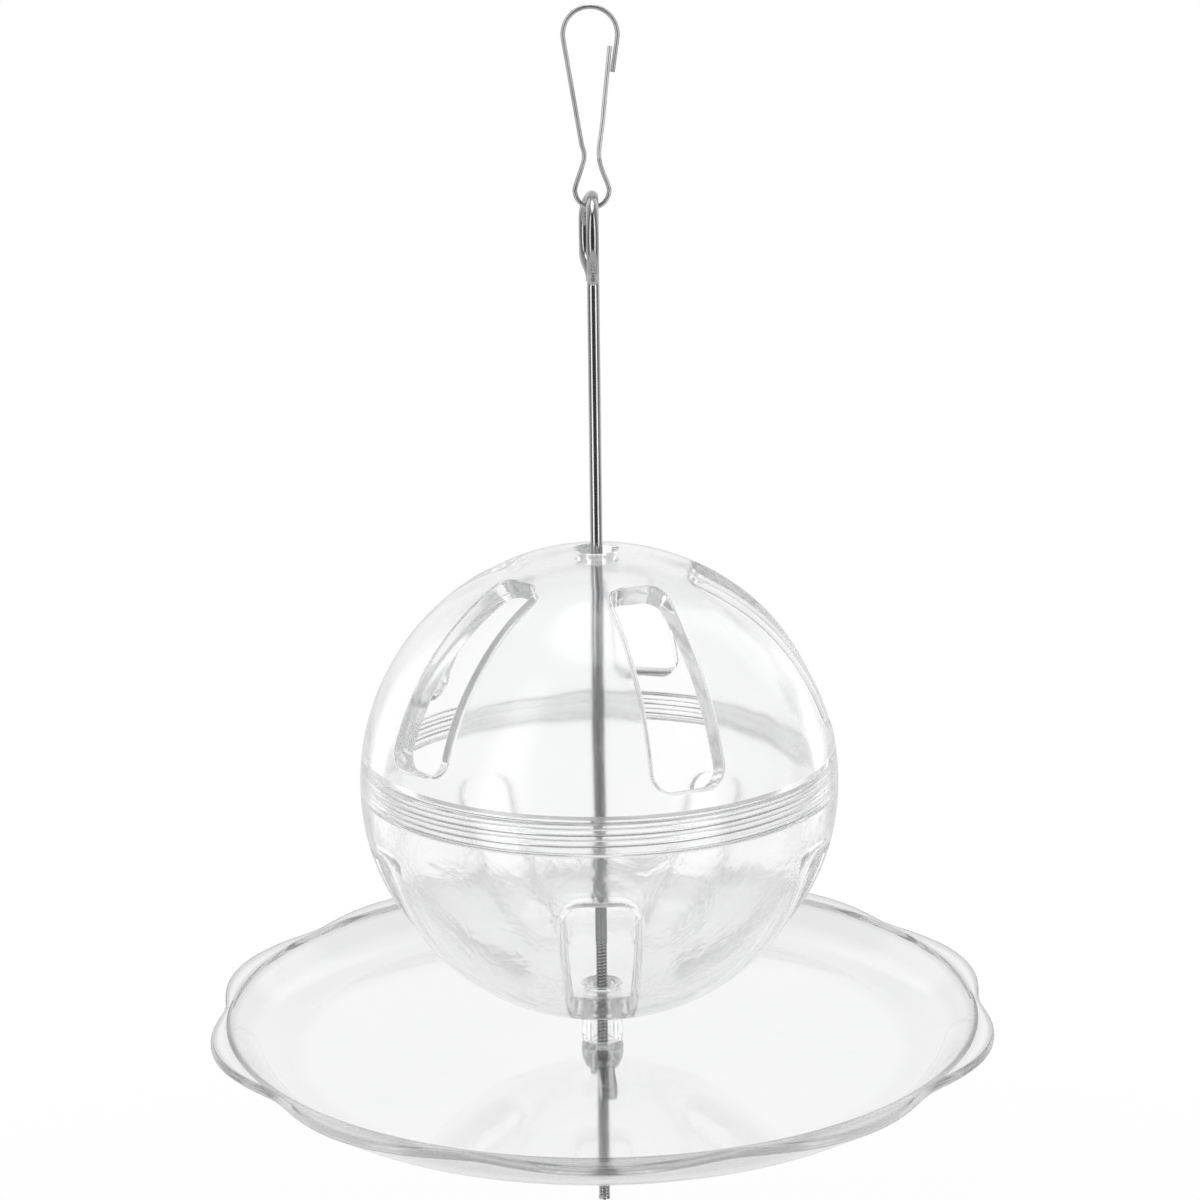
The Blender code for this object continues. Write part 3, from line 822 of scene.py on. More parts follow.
@dataclass
class HangingRod:
    """The steel rod: an eye bent at the top and a screw thread cut on the lower end."""

    radius: float = 0.00125
    top_z: float = -0.0357
    tip_z: float = -0.2539
    eye_radius: float = 0.0078
    eye_neck: float = 0.0025
    eye_join: float = math.radians(50.0)
    eye_bend: float = 0.42
    tail_angle: float = math.radians(300.0)
    tail_aside: float = math.radians(4.0)
    tail_rise: float = 0.0008
    tail_gap: float = 0.0003
    sidestep: float = 0.00155
    sidestep_start: float = math.radians(180.0)
    sidestep_length: float = math.radians(70.0)
    tip_chamfer: float = 0.0005
    tip_girth: float = 0.6
    thread_top_z: float = -0.1945
    thread_pitch: float = 0.00075
    thread_depth: float = 0.00022
    thread_fade: float = 0.0015
    thread_edge: float = 1e-6
    # Painted shade on the rod: greyer below these heights inside the ball, in the valleys of the thread and
    # on the eye.
    painted_shade_top_z: float = -0.1280
    painted_shade_full_z: float = -0.1500
    painted_shade_strength: float = 0.60
    groove_shade: float = 0.95
    eye_shade: float = 0.50
    eye_shade_z: float = -0.0550
    eye_shade_fade: float = 0.004
    rows_per_pitch: int = 6
    shank_steps: int = 24
    bend_steps: int = 14
    eye_steps: int = 56
    sides: int = 24

    @property
    def eye_z(self) -> float:
        """The height of the eye's middle."""
        return self.top_z - self.radius - self.eye_radius

    def eye_point(self, turn: float) -> Vector:
        """Give the middle of the eye's wire at a turn, from the bottom forwards, up and over."""
        late = min(max((turn - self.sidestep_start) / self.sidestep_length, 0.0), 1.0)
        aside = -self.sidestep * late * late * (3 - 2 * late)
        ahead, below = self.eye_radius * math.sin(turn), self.eye_radius * math.cos(turn)
        return Vector((aside, -ahead, self.eye_z - below))

    def eye_direction(self, turn: float) -> Vector:
        """Give the direction in which the eye's wire runs at a turn."""
        return Vector((0, -math.cos(turn), math.sin(turn)))

    def bend(self, start: Vector, leaving: Vector, end: Vector, arriving: Vector) -> list[Vector]:
        """Bend the wire from one direction into another.

        Args:
            start: Where the bend starts, which is left out of the list.
            leaving: The direction at its start.
            end: Where it ends.
            arriving: The direction at its end.

        Returns:
            The points after the start, end included.
        """
        reach = (end - start).length * self.eye_bend
        first, last = start + leaving * reach, end - arriving * reach
        return [
            (1 - t) ** 3 * start + 3 * (1 - t) ** 2 * t * first + 3 * (1 - t) * t ** 2 * last + t ** 3 * end
            for t in (i / self.bend_steps for i in range(1, self.bend_steps + 1))
        ]

    def path(self) -> list[Vector]:
        """Route the rod from its tip up to the eye, round it and down again behind itself.

        Returns:
            The points of the rod's middle line, close together along the thread.
        """
        up = Vector((0, 0, 1))
        neck = up * (self.eye_z - self.eye_radius - self.eye_neck)
        rows = round((self.thread_top_z - self.tip_z) / self.thread_pitch * self.rows_per_pitch)
        chamfer = self.tip_z + self.tip_chamfer
        path = [up * self.tip_z, up * chamfer]
        path += [up * (chamfer + (self.thread_top_z - chamfer) * i / rows) for i in range(1, rows + 1)]
        shank = neck.z - self.thread_top_z
        path += [
            up * (self.thread_top_z + shank * i / self.shank_steps) for i in range(1, self.shank_steps + 1)
        ]
        join, tail_turn = self.eye_join, self.tail_angle
        path += self.bend(neck, up, self.eye_point(join), self.eye_direction(join))
        turns = (join + (tail_turn - join) * i / self.eye_steps for i in range(1, self.eye_steps + 1))
        path += [self.eye_point(turn) for turn in turns]
        beside = 2 * self.radius + self.tail_gap
        behind = Vector((-math.sin(self.tail_aside), math.cos(self.tail_aside), 0)) * beside
        path += self.bend(path[-1], self.eye_direction(tail_turn), neck + behind + up * self.tail_rise, -up)
        return path

    def build(self) -> bpy.types.Object:
        """Sweep the rod, cut its thread by rule and paint shade on it.

        Returns:
            The rod.
        """
        recipe, wire = wire_recipe("hanging_rod_recipe", self.radius, self.sides)
        thread = Recipe("rod_thread", {
            "Pitch": self.thread_pitch, "Depth": self.thread_depth, "Top": self.thread_top_z,
            "Fade": self.thread_fade, "Tip": self.tip_z + self.tip_chamfer,
            "Painted shade top": self.painted_shade_top_z, "Painted shade full": self.painted_shade_full_z, "Painted shade strength": self.painted_shade_strength,
            "Groove shade": self.groove_shade, "Eye shade": self.eye_shade, "Eye": self.eye_shade_z,
        })
        x, y, z = thread.position()
        turn = bearing(x, y) / FULL_TURN
        groove = ((z / thread.size("Pitch") - turn) * FULL_TURN).cosine() * 0.5 + 0.5
        below = (thread.size("Top") - z).step(0.0, thread.size("Fade"))
        above = (z - thread.size("Tip")).step(-self.thread_edge, self.thread_edge)
        depth = groove * below * above * thread.size("Depth")
        shrink = 1 - depth / spread(x, y).largest(LEAST_RADIUS)
        # Painted shade: greyer below the shade's top, then dark in the thread's valleys, then on the eye.
        inner_painted_shade = (-z).step(-thread.size("Painted shade top"), -thread.size("Painted shade full")) * thread.size("Painted shade strength")
        shade = inner_painted_shade * (1 - below) + groove * groove * below * thread.size("Groove shade")
        eye = thread.size("Eye")
        shade = shade + z.step(eye, eye + self.eye_shade_fade) * thread.size("Eye shade")
        cut = thread.moved(thread.marked(thread.geometry, SHADE, shade), x * shrink, y * shrink, z)
        swept = recipe.bake(wire, path_mesh("rod_path", self.path(), (self.tip_girth,)), DRAWN_STEEL)
        mesh = thread.bake(cut, swept, DRAWN_STEEL)
        rod = settle("hanging_rod_wire", mesh, DRAWN_STEEL, Slot.ROD_STEEL)
        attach(rod, Body.ROD.value)
        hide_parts("hanging_rod")
        return rod


@dataclass
class BallHalf:
    """One clear half of the ball: a shell with slots round it and half of a screw joint."""

    half: Half
    slot_azimuth: float
    radius: float = 0.0500
    wall: float = 0.0045
    centre_z: float = -0.158892
    slot_count: int = 5
    slot_low: float = math.radians(13.3)
    slot_high: float = math.radians(66.5)
    slot_wide: float = 0.0148
    slot_narrow: float = 0.0118
    slot_corner: float = 0.0040
    edge_round: float = 0.0005
    # Painted shade on the slot's walls: how much, and how far above the slot's seam end it takes to reach
    # full.
    slot_shade: float = 0.04
    shade_rise: float = 1e-6
    patch_low: float = math.radians(10.0)
    patch_high: float = math.radians(72.0)
    patch_easing: float = 0.8
    seam_half_gap: float = 0.00015
    seam_round: float = 0.0003
    collar_height: float = 0.0064
    collar_radius: float = 0.0469
    recess_height: float = 0.0067
    recess_radius: float = 0.0478
    thread_pitch: float = 0.0022
    thread_height: float = 0.0006
    thread_flank: float = 0.0005
    male_crest: float = 0.0004
    female_crest: float = 0.0006
    thread_start: float = 0.0009
    thread_fade: float = 0.0004
    top_hole: float = 0.0040
    bottom_hole: float = 0.0035
    hole_chamfer: float = 0.0010
    seat_radius: float = 0.0054
    columns: int = 36
    rows: int = 44
    corner_steps: int = 8
    patch_steps: int = 12
    round_steps: int = 4
    wall_steps: int = 3
    seam_steps: int = 5
    recess_steps: int = 2
    collar_steps: int = 9
    pole_steps: int = 7
    hole_steps: int = 2
    thread_rows: int = 110

    @property
    def inner(self) -> float:
        """The cavity's radius."""
        return self.radius - self.wall

    def slot_loop(self, offset: float) -> list[Point2]:
        """Outline the slot, or a line outside it, as (azimuth, angle from the seam) pairs.

        Args:
            offset: How far outside the slot the line runs.

        Returns:
            A closed loop from the lower left corner: seam end, right, pole end, left.
        """
        low = self.radius * self.slot_low
        high = self.radius * self.slot_high
        wide, narrow, corner = self.slot_wide / 2, self.slot_narrow / 2, self.slot_corner
        centres = [
            (-(wide - corner), low + corner), (wide - corner, low + corner),
            (narrow - corner, high - corner), (-(narrow - corner), high - corner),
        ]
        flat: list[Point2] = []
        for side in range(4):
            start = math.radians(225 + 90 * side)
            steps = (self.columns if side % 2 == 0 else self.rows) - 2 * self.corner_steps
            bend = math.radians(45)
            first = arc(centres[side], corner + offset, start, start + bend, self.corner_steps)
            second = arc(
                centres[(side + 1) % 4], corner + offset, start + bend, start + 2 * bend, self.corner_steps,
            )
            flat += first[:-1] + spaced(first[-1], second[0], steps)[:-1] + second[:-1]
        return [(x / (self.radius * math.cos(y / self.radius)), y / self.radius) for x, y in flat]

    def frame_loop(self) -> list[Point2]:
        """List the edge of one sector's patch, point for point with the slot's outline."""
        side = math.pi / self.slot_count
        low, high = self.patch_low, self.patch_high
        corners = [(-side, low), (side, low), (side, high), (-side, high)]
        loop: list[Point2] = []
        for i in range(4):
            steps = self.columns if i % 2 == 0 else self.rows
            loop += spaced(corners[i], corners[(i + 1) % 4], steps)[:-1]
        return loop

    def patch_rings(self) -> list[list[Vector]]:
        """Lay rings from a sector's outer edge to its slot, through the wall and back inside.

        Returns:
            The rings, each with as many points as the slot's outline.
        """
        edge = self.edge_round
        rim = self.frame_loop()
        mouth = self.slot_loop(edge)
        shares = [(i / self.patch_steps) ** self.patch_easing for i in range(self.patch_steps + 1)]
        spread = [
            [(a[0] + (b[0] - a[0]) * t, a[1] + (b[1] - a[1]) * t) for a, b in zip(rim, mouth)] for t in shares
        ]
        sides: list[tuple[list[Point2], float]] = [(loop, self.radius) for loop in spread]
        turns = [RIGHT_ANGLE * i / self.round_steps for i in range(1, self.round_steps + 1)]
        falling = [edge * (1 - math.sin(turn)) for turn in turns]
        growing = [edge * (1 - math.cos(turn)) for turn in turns]
        sides += [(self.slot_loop(out), self.radius - sunk) for out, sunk in zip(falling, growing)]
        throat = self.slot_loop(0.0)
        depths = spaced((self.radius - edge, 0), (self.inner + edge, 0), self.wall_steps)[1:]
        sides += [(throat, depth) for depth, _ in depths]
        sides += [(self.slot_loop(out), self.inner + left) for out, left in zip(growing, falling)]
        sides += [(loop, self.inner) for loop in reversed(spread[:-1])]
        sign = self.half.value
        return [
            [around(r * math.cos(level), azimuth, sign * r * math.sin(level)) for azimuth, level in loop]
            for loop, r in sides
        ]

    def arc_profile(self, radius: float, start: float, end: float, steps: int) -> list[Point2]:
        """Follow a sphere of the ball from one angle above the seam to another."""
        return arc((0.0, 0.0), radius, start, end, steps)

    def seam_profile(self) -> tuple[list[Point2], int, int]:
        """Profile the seam's side of the shell, from the patch outside to the patch inside.

        Returns:
            The (radius, height) points, and the first and last index of the threaded wall.
        """
        gap, soft = self.seam_half_gap, self.seam_round
        sign = self.half.value
        reach = math.sqrt(self.radius ** 2 - (gap + soft) ** 2) - soft
        lip = arc((reach, sign * (gap + soft)), soft, 0, -sign * RIGHT_ANGLE, self.round_steps)
        top = math.asin((gap + soft) / self.radius)
        outside = self.arc_profile(self.radius, sign * self.patch_low, sign * top, self.seam_steps)[1:-1]
        if self.half is Half.UPPER:
            wall, height, steps = self.recess_radius, self.recess_height, self.recess_steps
        else:
            wall, height, steps = self.collar_radius, self.collar_height, self.collar_steps
        threaded = spaced((wall, sign * gap), (wall, height), self.thread_rows)
        ceiling = math.asin(height / self.inner)
        across = spaced(threaded[-1], (self.inner * math.cos(ceiling), height), self.wall_steps)[1:]
        inside = self.arc_profile(self.inner, ceiling, sign * self.patch_low, steps)[1:-1]
        floor = spaced(lip[-1], threaded[0], self.wall_steps)[1:-1]
        points = outside + lip + floor + threaded + across + inside
        first = len(outside) + len(lip) + len(floor)
        return points, first, first + self.thread_rows

    def pole_profile(self) -> list[Point2]:
        """Profile the hole's side of the shell, from the patch outside to the patch inside.

        Returns:
            The (radius, height) points.
        """
        sign = self.half.value
        chamfer = self.hole_chamfer
        if self.half is Half.UPPER:
            hole = self.top_hole
            rim = math.acos((hole + chamfer) / self.radius)
            foot = math.acos(hole / self.inner)
            outside = self.arc_profile(self.radius, self.patch_high, rim, self.pole_steps)[1:]
            drop = outside[-1][1] - chamfer
            neck = arc((hole + chamfer, drop), chamfer, RIGHT_ANGLE, math.pi, self.round_steps)[1:]
            inside = self.arc_profile(self.inner, foot, self.patch_high, self.pole_steps)[:-1]
            return outside + neck + spaced(neck[-1], inside[0], self.hole_steps)[1:-1] + inside
        hole = self.bottom_hole
        seat = math.acos(self.seat_radius / self.radius)
        flare = math.acos((hole + chamfer) / self.inner)
        steps = self.pole_steps
        outside = self.arc_profile(self.radius, sign * self.patch_high, sign * seat, steps)[1:]
        inside = self.arc_profile(self.inner, sign * flare, sign * self.patch_high, steps)[:-1]
        floor = outside[-1][1]
        ledge = inside[0][1] - chamfer
        bore = spaced((hole, floor), (hole, ledge), self.hole_steps)
        return outside + bore + inside

    def sector(self) -> bpy.types.Mesh:
        """Build the fifth of the shell that holds one slot.

        Returns:
            An open mesh whose points carry whether the thread's rule moves them and how much painted shade
            the slot's wall takes there.
        """
        bm = bmesh.new()
        mark = bm.verts.layers.float.new("threaded")
        wall = bm.verts.layers.float.new("slot_wall_painted_shade")
        rings = [[bm.verts.new(point) for point in ring] for ring in self.patch_rings()]
        count = len(rings[0])
        # Painted shade on the slot's wall, fading out towards the seam end.
        for ring in rings[self.patch_steps + 1: -self.patch_steps - 1]:
            for vertex in ring:
                rise = abs(vertex.co.z) / vertex.co.length - math.sin(self.slot_low)
                vertex[wall] = min(max(rise / self.shade_rise, 0.0), 1.0)
        for ring, following in zip(rings, rings[1:]):
            for i in range(count):
                j = (i + 1) % count
                bm.faces.new((ring[i], ring[j], following[j], following[i]))
        side = math.pi / self.slot_count
        turns = [side * (2 * i / self.columns - 1) for i in range(self.columns + 1)]
        profile, first, last = self.seam_profile()
        seam = [rings[0][: self.columns + 1]]
        for i, (radius, height) in enumerate(profile):
            seam.append([bm.verts.new(around(radius, turn, height)) for turn in turns])
            if first < i < last:
                for vertex in seam[-1]:
                    vertex[mark] = 1.0
        seam.append(rings[-1][: self.columns + 1])
        far = self.columns + self.rows
        pole = [list(reversed(rings[0][far: far + self.columns + 1]))]
        for radius, height in self.pole_profile():
            pole.append([bm.verts.new(around(radius, turn, height)) for turn in turns])
        pole.append(list(reversed(rings[-1][far: far + self.columns + 1])))
        for strip in (seam, pole):
            for row, following in zip(strip, strip[1:]):
                for i in range(self.columns):
                    bm.faces.new((row[i], row[i + 1], following[i + 1], following[i]))
        mesh = bpy.data.meshes.new("ball_sector")
        bm.to_mesh(mesh)
        bm.free()
        return mesh

    def build(self, name: str, body: Body, node: str) -> bpy.types.Object:
        """Repeat the sector round the ball, raise its thread by rule and mark its painted shade.

        Args:
            name: The piece's name.
            body: The body it rides on.
            node: The frame's node that it stands for.

        Returns:
            The shell.
        """
        upper = self.half is Half.UPPER
        recipe = Recipe(name + "_recipe", {
            "Slots": self.slot_count, "First slot": self.slot_azimuth, "Pitch": self.thread_pitch,
            "Height": -self.thread_height if upper else self.thread_height,
            "Crest": self.female_crest if upper else self.male_crest, "Flank": self.thread_flank,
            "Start": self.thread_start - (self.thread_pitch / 2 if upper else 0.0),
            "Fade": self.thread_fade, "Low": self.seam_half_gap,
            "High": self.recess_height if upper else self.collar_height, "Slot shade": self.slot_shade,
        })
        graph = recipe.graph
        line = graph.node("GeometryNodeMeshLine", None, {"Count": recipe.size("Slots"), "Offset": (0, 0, 0)})
        number = graph.term(graph.node("GeometryNodeInputIndex"))
        turn = number * FULL_TURN / recipe.size("Slots") + recipe.size("First slot")
        spin = graph.node("FunctionNodeEulerToRotation", None, {0: graph.vector(0.0, 0.0, turn)})
        copies = graph.node(
            "GeometryNodeInstanceOnPoints", None,
            {"Points": line.outputs[0], "Instance": recipe.geometry, "Rotation": spin.outputs[0]},
        )
        real = graph.node("GeometryNodeRealizeInstances", None, {0: copies.outputs[0]})
        whole = graph.node(
            "GeometryNodeMergeByDistance", None,
            {"Geometry": real.outputs[0], "Distance": MERGE_DISTANCE},
        )
        x, y, z = recipe.position()
        phase = (z - recipe.size("Start")) / recipe.size("Pitch") - bearing(x, y) / FULL_TURN
        away = abs((phase + 0.5).fraction() - 0.5) * recipe.size("Pitch")
        ridge = (recipe.size("Crest") / 2 + recipe.size("Flank") - away).step(0.0, recipe.size("Flank"))
        fade = recipe.size("Fade")
        ends = (z - recipe.size("Low")).step(fade, fade * 2) * (recipe.size("High") - z).step(fade, fade * 2)
        threaded = ends * recipe.attribute("threaded")
        grow = 1 + ridge * threaded * recipe.size("Height") / spread(x, y).largest(LEAST_RADIUS)
        # Painted shade on the thread's flanks and the slot's walls.
        shade = 4 * ridge * (1 - ridge) * threaded + recipe.size("Slot shade") * recipe.attribute("slot_wall_painted_shade")
        cut = recipe.moved(recipe.marked(whole.outputs[0], SHADE, shade), x * grow, y * grow, z)
        finish = UPPER_SHELL if upper else LOWER_SHELL
        mesh = recipe.bake(cut, self.sector(), finish)
        shell = settle(name, mesh, finish, Slot.CLEAR_PLASTIC, (0, 0, self.centre_z))
        true_sphere_normals(mesh, Vector((0, 0, self.centre_z)), ((self.radius, 1), (self.inner, -1)))
        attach(shell, body.value)
        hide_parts(node)
        return shell


@dataclass
class SpacerBush:
    """The clear bush between ball and tray, with the spigot that the ball turns on."""

    foot_z: float = -0.2167
    height: float = 0.0078
    bore: float = 0.0023
    radius: float = 0.0044
    spigot: float = 0.0032
    spigot_height: float = 0.0045076
    edge_round: float = 0.0003
    round_steps: int = 4
    columns: int = 64

    def build(self) -> bpy.types.Object:
        """Turn the bush.

        Returns:
            The bush.
        """
        top = self.height + self.spigot_height
        corners = [
            (self.bore, 0), (self.radius, 0), (self.radius, self.height), (self.spigot, self.height),
            (self.spigot, top), (self.bore, top),
        ]
        soft = self.edge_round
        profile = rounded(corners, (soft, soft, soft, 0, soft, soft), self.round_steps)
        mesh = turned_mesh("spacer_bush", profile, self.columns)
        bush = settle("spacer_bush", mesh, BUSH_PLASTIC, Slot.CLEAR_PLASTIC, (0, 0, self.foot_z))
        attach(bush, Body.BUSH.value)
        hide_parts("spacer_sleeve")
        return bush


@dataclass
class CatchTray:
    """The clear tray: a flat floor, a flared wall and a lip with scallops round it."""

    floor_z: float = -0.2170
    rim_radius: float = 0.0790
    depth: float = 0.0084
    wall: float = 0.0020
    slope: float = math.radians(45.0)
    inner_fillet: float = 0.0100
    hole: float = 0.00165
    waves: int = 10
    reach_least: float = 0.0017
    reach_most: float = 0.00499
    pinch_softness: float = 0.25
    rim_round: float = 0.0012
    lip_round: float = 0.0008
    lip_shares: tuple[float, ...] = (0.25, 0.5, 0.75)
    # Painted shade on the rim, the lip's edges, under the lip and on the outer wall; lower on the lip's
    # middle to leave a painted lighter line.
    edge_shade: float = 1.0
    lip_shade: float = 0.1
    under_shades: tuple[float, ...] = (0.35, 0.1, 0.35)
    wall_shade: float = 0.6
    foot_shade: float = 0.3
    floor_steps: int = 16
    fillet_steps: int = 8
    wall_steps: int = 4
    outer_steps: int = 3
    rim_steps: int = 6
    nose_steps: int = 5
    columns_per_wave: int = 48

    def profile(self) -> tuple[list[Point2], list[float], list[float]]:
        """Profile the tray with its lip drawn in to the rim.

        Returns:
            The (radius, height) points, and for each point the share of the scallop that it takes and how
            much painted shade its colour takes there, from 0 to 1.
        """
        slope, fillet, wall = self.slope, self.inner_fillet, self.wall
        climb = fillet * (1 - math.cos(slope))
        run = fillet * math.sin(slope) + (self.depth - climb) / math.tan(slope)
        centre = (self.rim_radius - run, fillet)
        down = -RIGHT_ANGLE
        inner = arc(centre, fillet, down, down + slope, self.fillet_steps)
        outer = arc(centre, fillet + wall, down + slope, down, self.fillet_steps)
        under = self.depth - wall
        under_start = outer[0][0] + (under - outer[0][1]) / math.tan(slope)
        soft = self.rim_round
        back = soft * math.tan(slope / 2)
        rim = arc(
            (self.rim_radius + back, self.depth - soft), soft, RIGHT_ANGLE + slope, RIGHT_ANGLE,
            self.rim_steps,
        )
        nose = self.lip_round
        edge = self.rim_radius - nose
        points: list[Point2] = []
        shares: list[float] = []
        shades: list[float] = []

        def add(items: Sequence[Point2], share: float, shade: float) -> None:
            """Take points with one share of the scallop and one shade."""
            points.extend(items)
            shares.extend([share] * len(items))
            shades.extend([shade] * len(items))

        add(spaced((self.hole, 0.0), inner[0], self.floor_steps)[:-1], 0.0, 0.0)
        add(inner, 0.0, 0.0)
        add(spaced(inner[-1], rim[0], self.wall_steps)[1:-1], 0.0, 0.0)
        add(rim, 0.0, self.edge_shade)
        for share in self.lip_shares:
            add([(rim[-1][0] + (edge - rim[-1][0]) * share, self.depth)], share, self.lip_shade)
        add(arc((edge, self.depth - nose), nose, RIGHT_ANGLE, 0, self.nose_steps), 1.0, self.edge_shade)
        add(arc((edge, under + nose), nose, 0, -RIGHT_ANGLE, self.nose_steps), 1.0, self.edge_shade)
        for share, shade in zip(reversed(self.lip_shares), self.under_shades):
            add([(under_start + (edge - under_start) * share, under)], share, shade)
        add([(under_start, under)], 0.0, self.wall_shade)
        add(spaced((under_start, under), outer[0], self.outer_steps)[1:-1], 0.0, self.wall_shade)
        add(outer, 0.0, self.foot_shade)
        add(spaced(outer[-1], (self.hole, -wall), self.floor_steps)[1:], 0.0, 0.0)
        return points, shares, shades

    def build(self) -> bpy.types.Object:
        """Turn the tray and draw its scallops by rule.

        Returns:
            The tray.
        """
        points, shares, shades = self.profile()
        columns = self.waves * self.columns_per_wave
        mesh = turned_mesh("tray_blank", points, columns)
        for label, values in (("scallop", shares), (SHADE, shades)):
            mesh.attributes.new(label, "FLOAT", "POINT").data.foreach_set("value", values * columns)
        recipe = Recipe("tray_recipe", {
            "Waves": self.waves, "Least reach": self.reach_least, "Most reach": self.reach_most,
            "Pinch softness": self.pinch_softness,
        })
        x, y, z = recipe.position()
        soft = recipe.size("Pinch softness")
        swing = (bearing(x, y) * recipe.size("Waves") / 2).cosine()
        lobe = ((swing * swing + soft * soft).root() - soft) / ((1 + soft * soft).root() - soft)
        least = recipe.size("Least reach")
        reach = (least + (recipe.size("Most reach") - least) * lobe) * recipe.attribute("scallop")
        grow = 1 + reach / spread(x, y)
        mesh = recipe.bake(recipe.moved(recipe.geometry, x * grow, y * grow, z), mesh, TRAY_PLASTIC)
        tray = settle("scalloped_tray", mesh, TRAY_PLASTIC, Slot.CLEAR_PLASTIC, (0, 0, self.floor_z))
        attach(tray, Body.TRAY.value)
        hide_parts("tray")
        return tray


@dataclass
class WingNut:
    """The clear wing nut under the tray: a bowl-shaped boss with two drooping wings."""

    seat_z: float = -0.2193
    base_radius: float = 0.0045
    end_radius: float = 0.0026
    height: float = 0.0055
    rim: float = 0.0010
    bore: float = 0.00155
    span: float = 0.0200
    thickness: float = 0.0034
    root_below: float = 0.0014
    drop: float = 0.0100
    tip_radius: float = 0.0026
    tip_start: float = math.radians(60.0)
    tip_end: float = math.radians(-110.0)
    root_share: float = 0.5
    azimuth: float = math.radians(8.0)
    voxel: float = 0.00016
    softening: float = 0.5
    smoothing: int = 6
    tip_steps: int = 14
    bowl_steps: int = 10
    columns: int = 64

    def outline(self) -> list[Point2]:
        """Outline both wings as one plate of (distance, height) points below the seat."""
        reach, tip, inside = self.span / 2, self.tip_radius, self.end_radius
        right = [(inside, -self.root_below)]
        right += arc((reach - tip, tip - self.drop), tip, self.tip_start, self.tip_end, self.tip_steps)
        right += [(inside, self.rim - self.height)]
        return right + [(-distance, height) for distance, height in reversed(right)]

    def build(self) -> bpy.types.Object:
        """Join boss and wings, round them off in one skin and bore the hole.

        Returns:
            The nut.
        """
        flare, taper = self.base_radius - self.end_radius, self.height - self.rim
        bowl = [
            (self.end_radius + flare * across, -self.rim - taper * down)
            for across, down in arc((0, 0), 1.0, 0, RIGHT_ANGLE, self.bowl_steps)
        ]
        corners = [(self.bore, 0), (self.base_radius, 0), *bowl, (self.bore, -self.height)]
        boss = turned_mesh("nut_boss", corners, self.columns)
        bm = bmesh.new()
        bm.from_mesh(boss)
        for sign in (-1, 1):
            half = [point for point in self.outline() if point[0] * sign > 0]
            inside = sign * self.base_radius * self.root_share
            root = [(inside, half[-1][1]), (inside, half[0][1])]
            rings = [
                [bm.verts.new((side, distance, height)) for distance, height in half + root]
                for side in (-self.thickness / 2, self.thickness / 2)
            ]
            count = len(rings[0])
            for i in range(count):
                j = (i + 1) % count
                bm.faces.new((rings[0][i], rings[0][j], rings[1][j], rings[1][i]))
            bm.faces.new(rings[0])
            bm.faces.new(rings[1])
        bmesh.ops.recalc_face_normals(bm, faces=bm.faces)
        bm.to_mesh(boss)
        bm.free()
        carrier = bpy.data.objects.new("nut_carrier", boss)
        bpy.context.collection.objects.link(carrier)
        remesh = carrier.modifiers.new("skin", "REMESH")
        remesh.mode = "VOXEL"
        remesh.voxel_size = self.voxel
        soften = carrier.modifiers.new("soften", "SMOOTH")
        soften.factor = self.softening
        soften.iterations = self.smoothing
        mesh = applied(carrier)
        mesh.transform(Matrix.Rotation(self.azimuth, 4, "Z"))
        nut = settle("wing_nut_moulding", mesh, SHADED_NUT_PLASTIC, Slot.CLEAR_PLASTIC, (0, 0, self.seat_z))
        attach(nut, Body.NUT.value)
        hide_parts("wing_nut")
        return nut


@dataclass(frozen=True)
class SoftBox:
    """A large soft lamp that looks at the ball."""

    name: str
    azimuth: float
    elevation: float
    distance: float
    width: float
    height: float
    power: float

    def build(self, target: Vector) -> bpy.types.Object:
        """Hang the lamp.

        Args:
            target: The point that it looks at.

        Returns:
            The lamp.
        """
        lamp = bpy.data.lights.new(self.name, "AREA")
        lamp.shape = "RECTANGLE"
        lamp.size = self.width
        lamp.size_y = self.height
        lamp.energy = self.power
        stand = bpy.data.objects.new(self.name, lamp)
        level = self.distance * math.cos(self.elevation)
        stand.location = target + around(level, self.azimuth, self.distance * math.sin(self.elevation))
        stand.rotation_euler = (stand.location - target).to_track_quat("Z", "Y").to_euler()
        stand.visible_camera = False
        stand.visible_glossy = False
        stand.visible_transmission = False
        bpy.context.collection.objects.link(stand)
        return stand


LEFT_SOFTBOX = SoftBox(
    name="left_softbox", azimuth=math.radians(-48.0), elevation=math.radians(8.0), distance=1.1,
    width=0.40, height=1.5, power=3.0,
)
RIGHT_SOFTBOX = replace(LEFT_SOFTBOX, name="right_softbox", azimuth=math.radians(48.0))
TOP_SOFTBOX = SoftBox(
    name="top_softbox", azimuth=0.0, elevation=math.radians(80.0), distance=1.2,
    width=0.9, height=0.9, power=4.0,
)


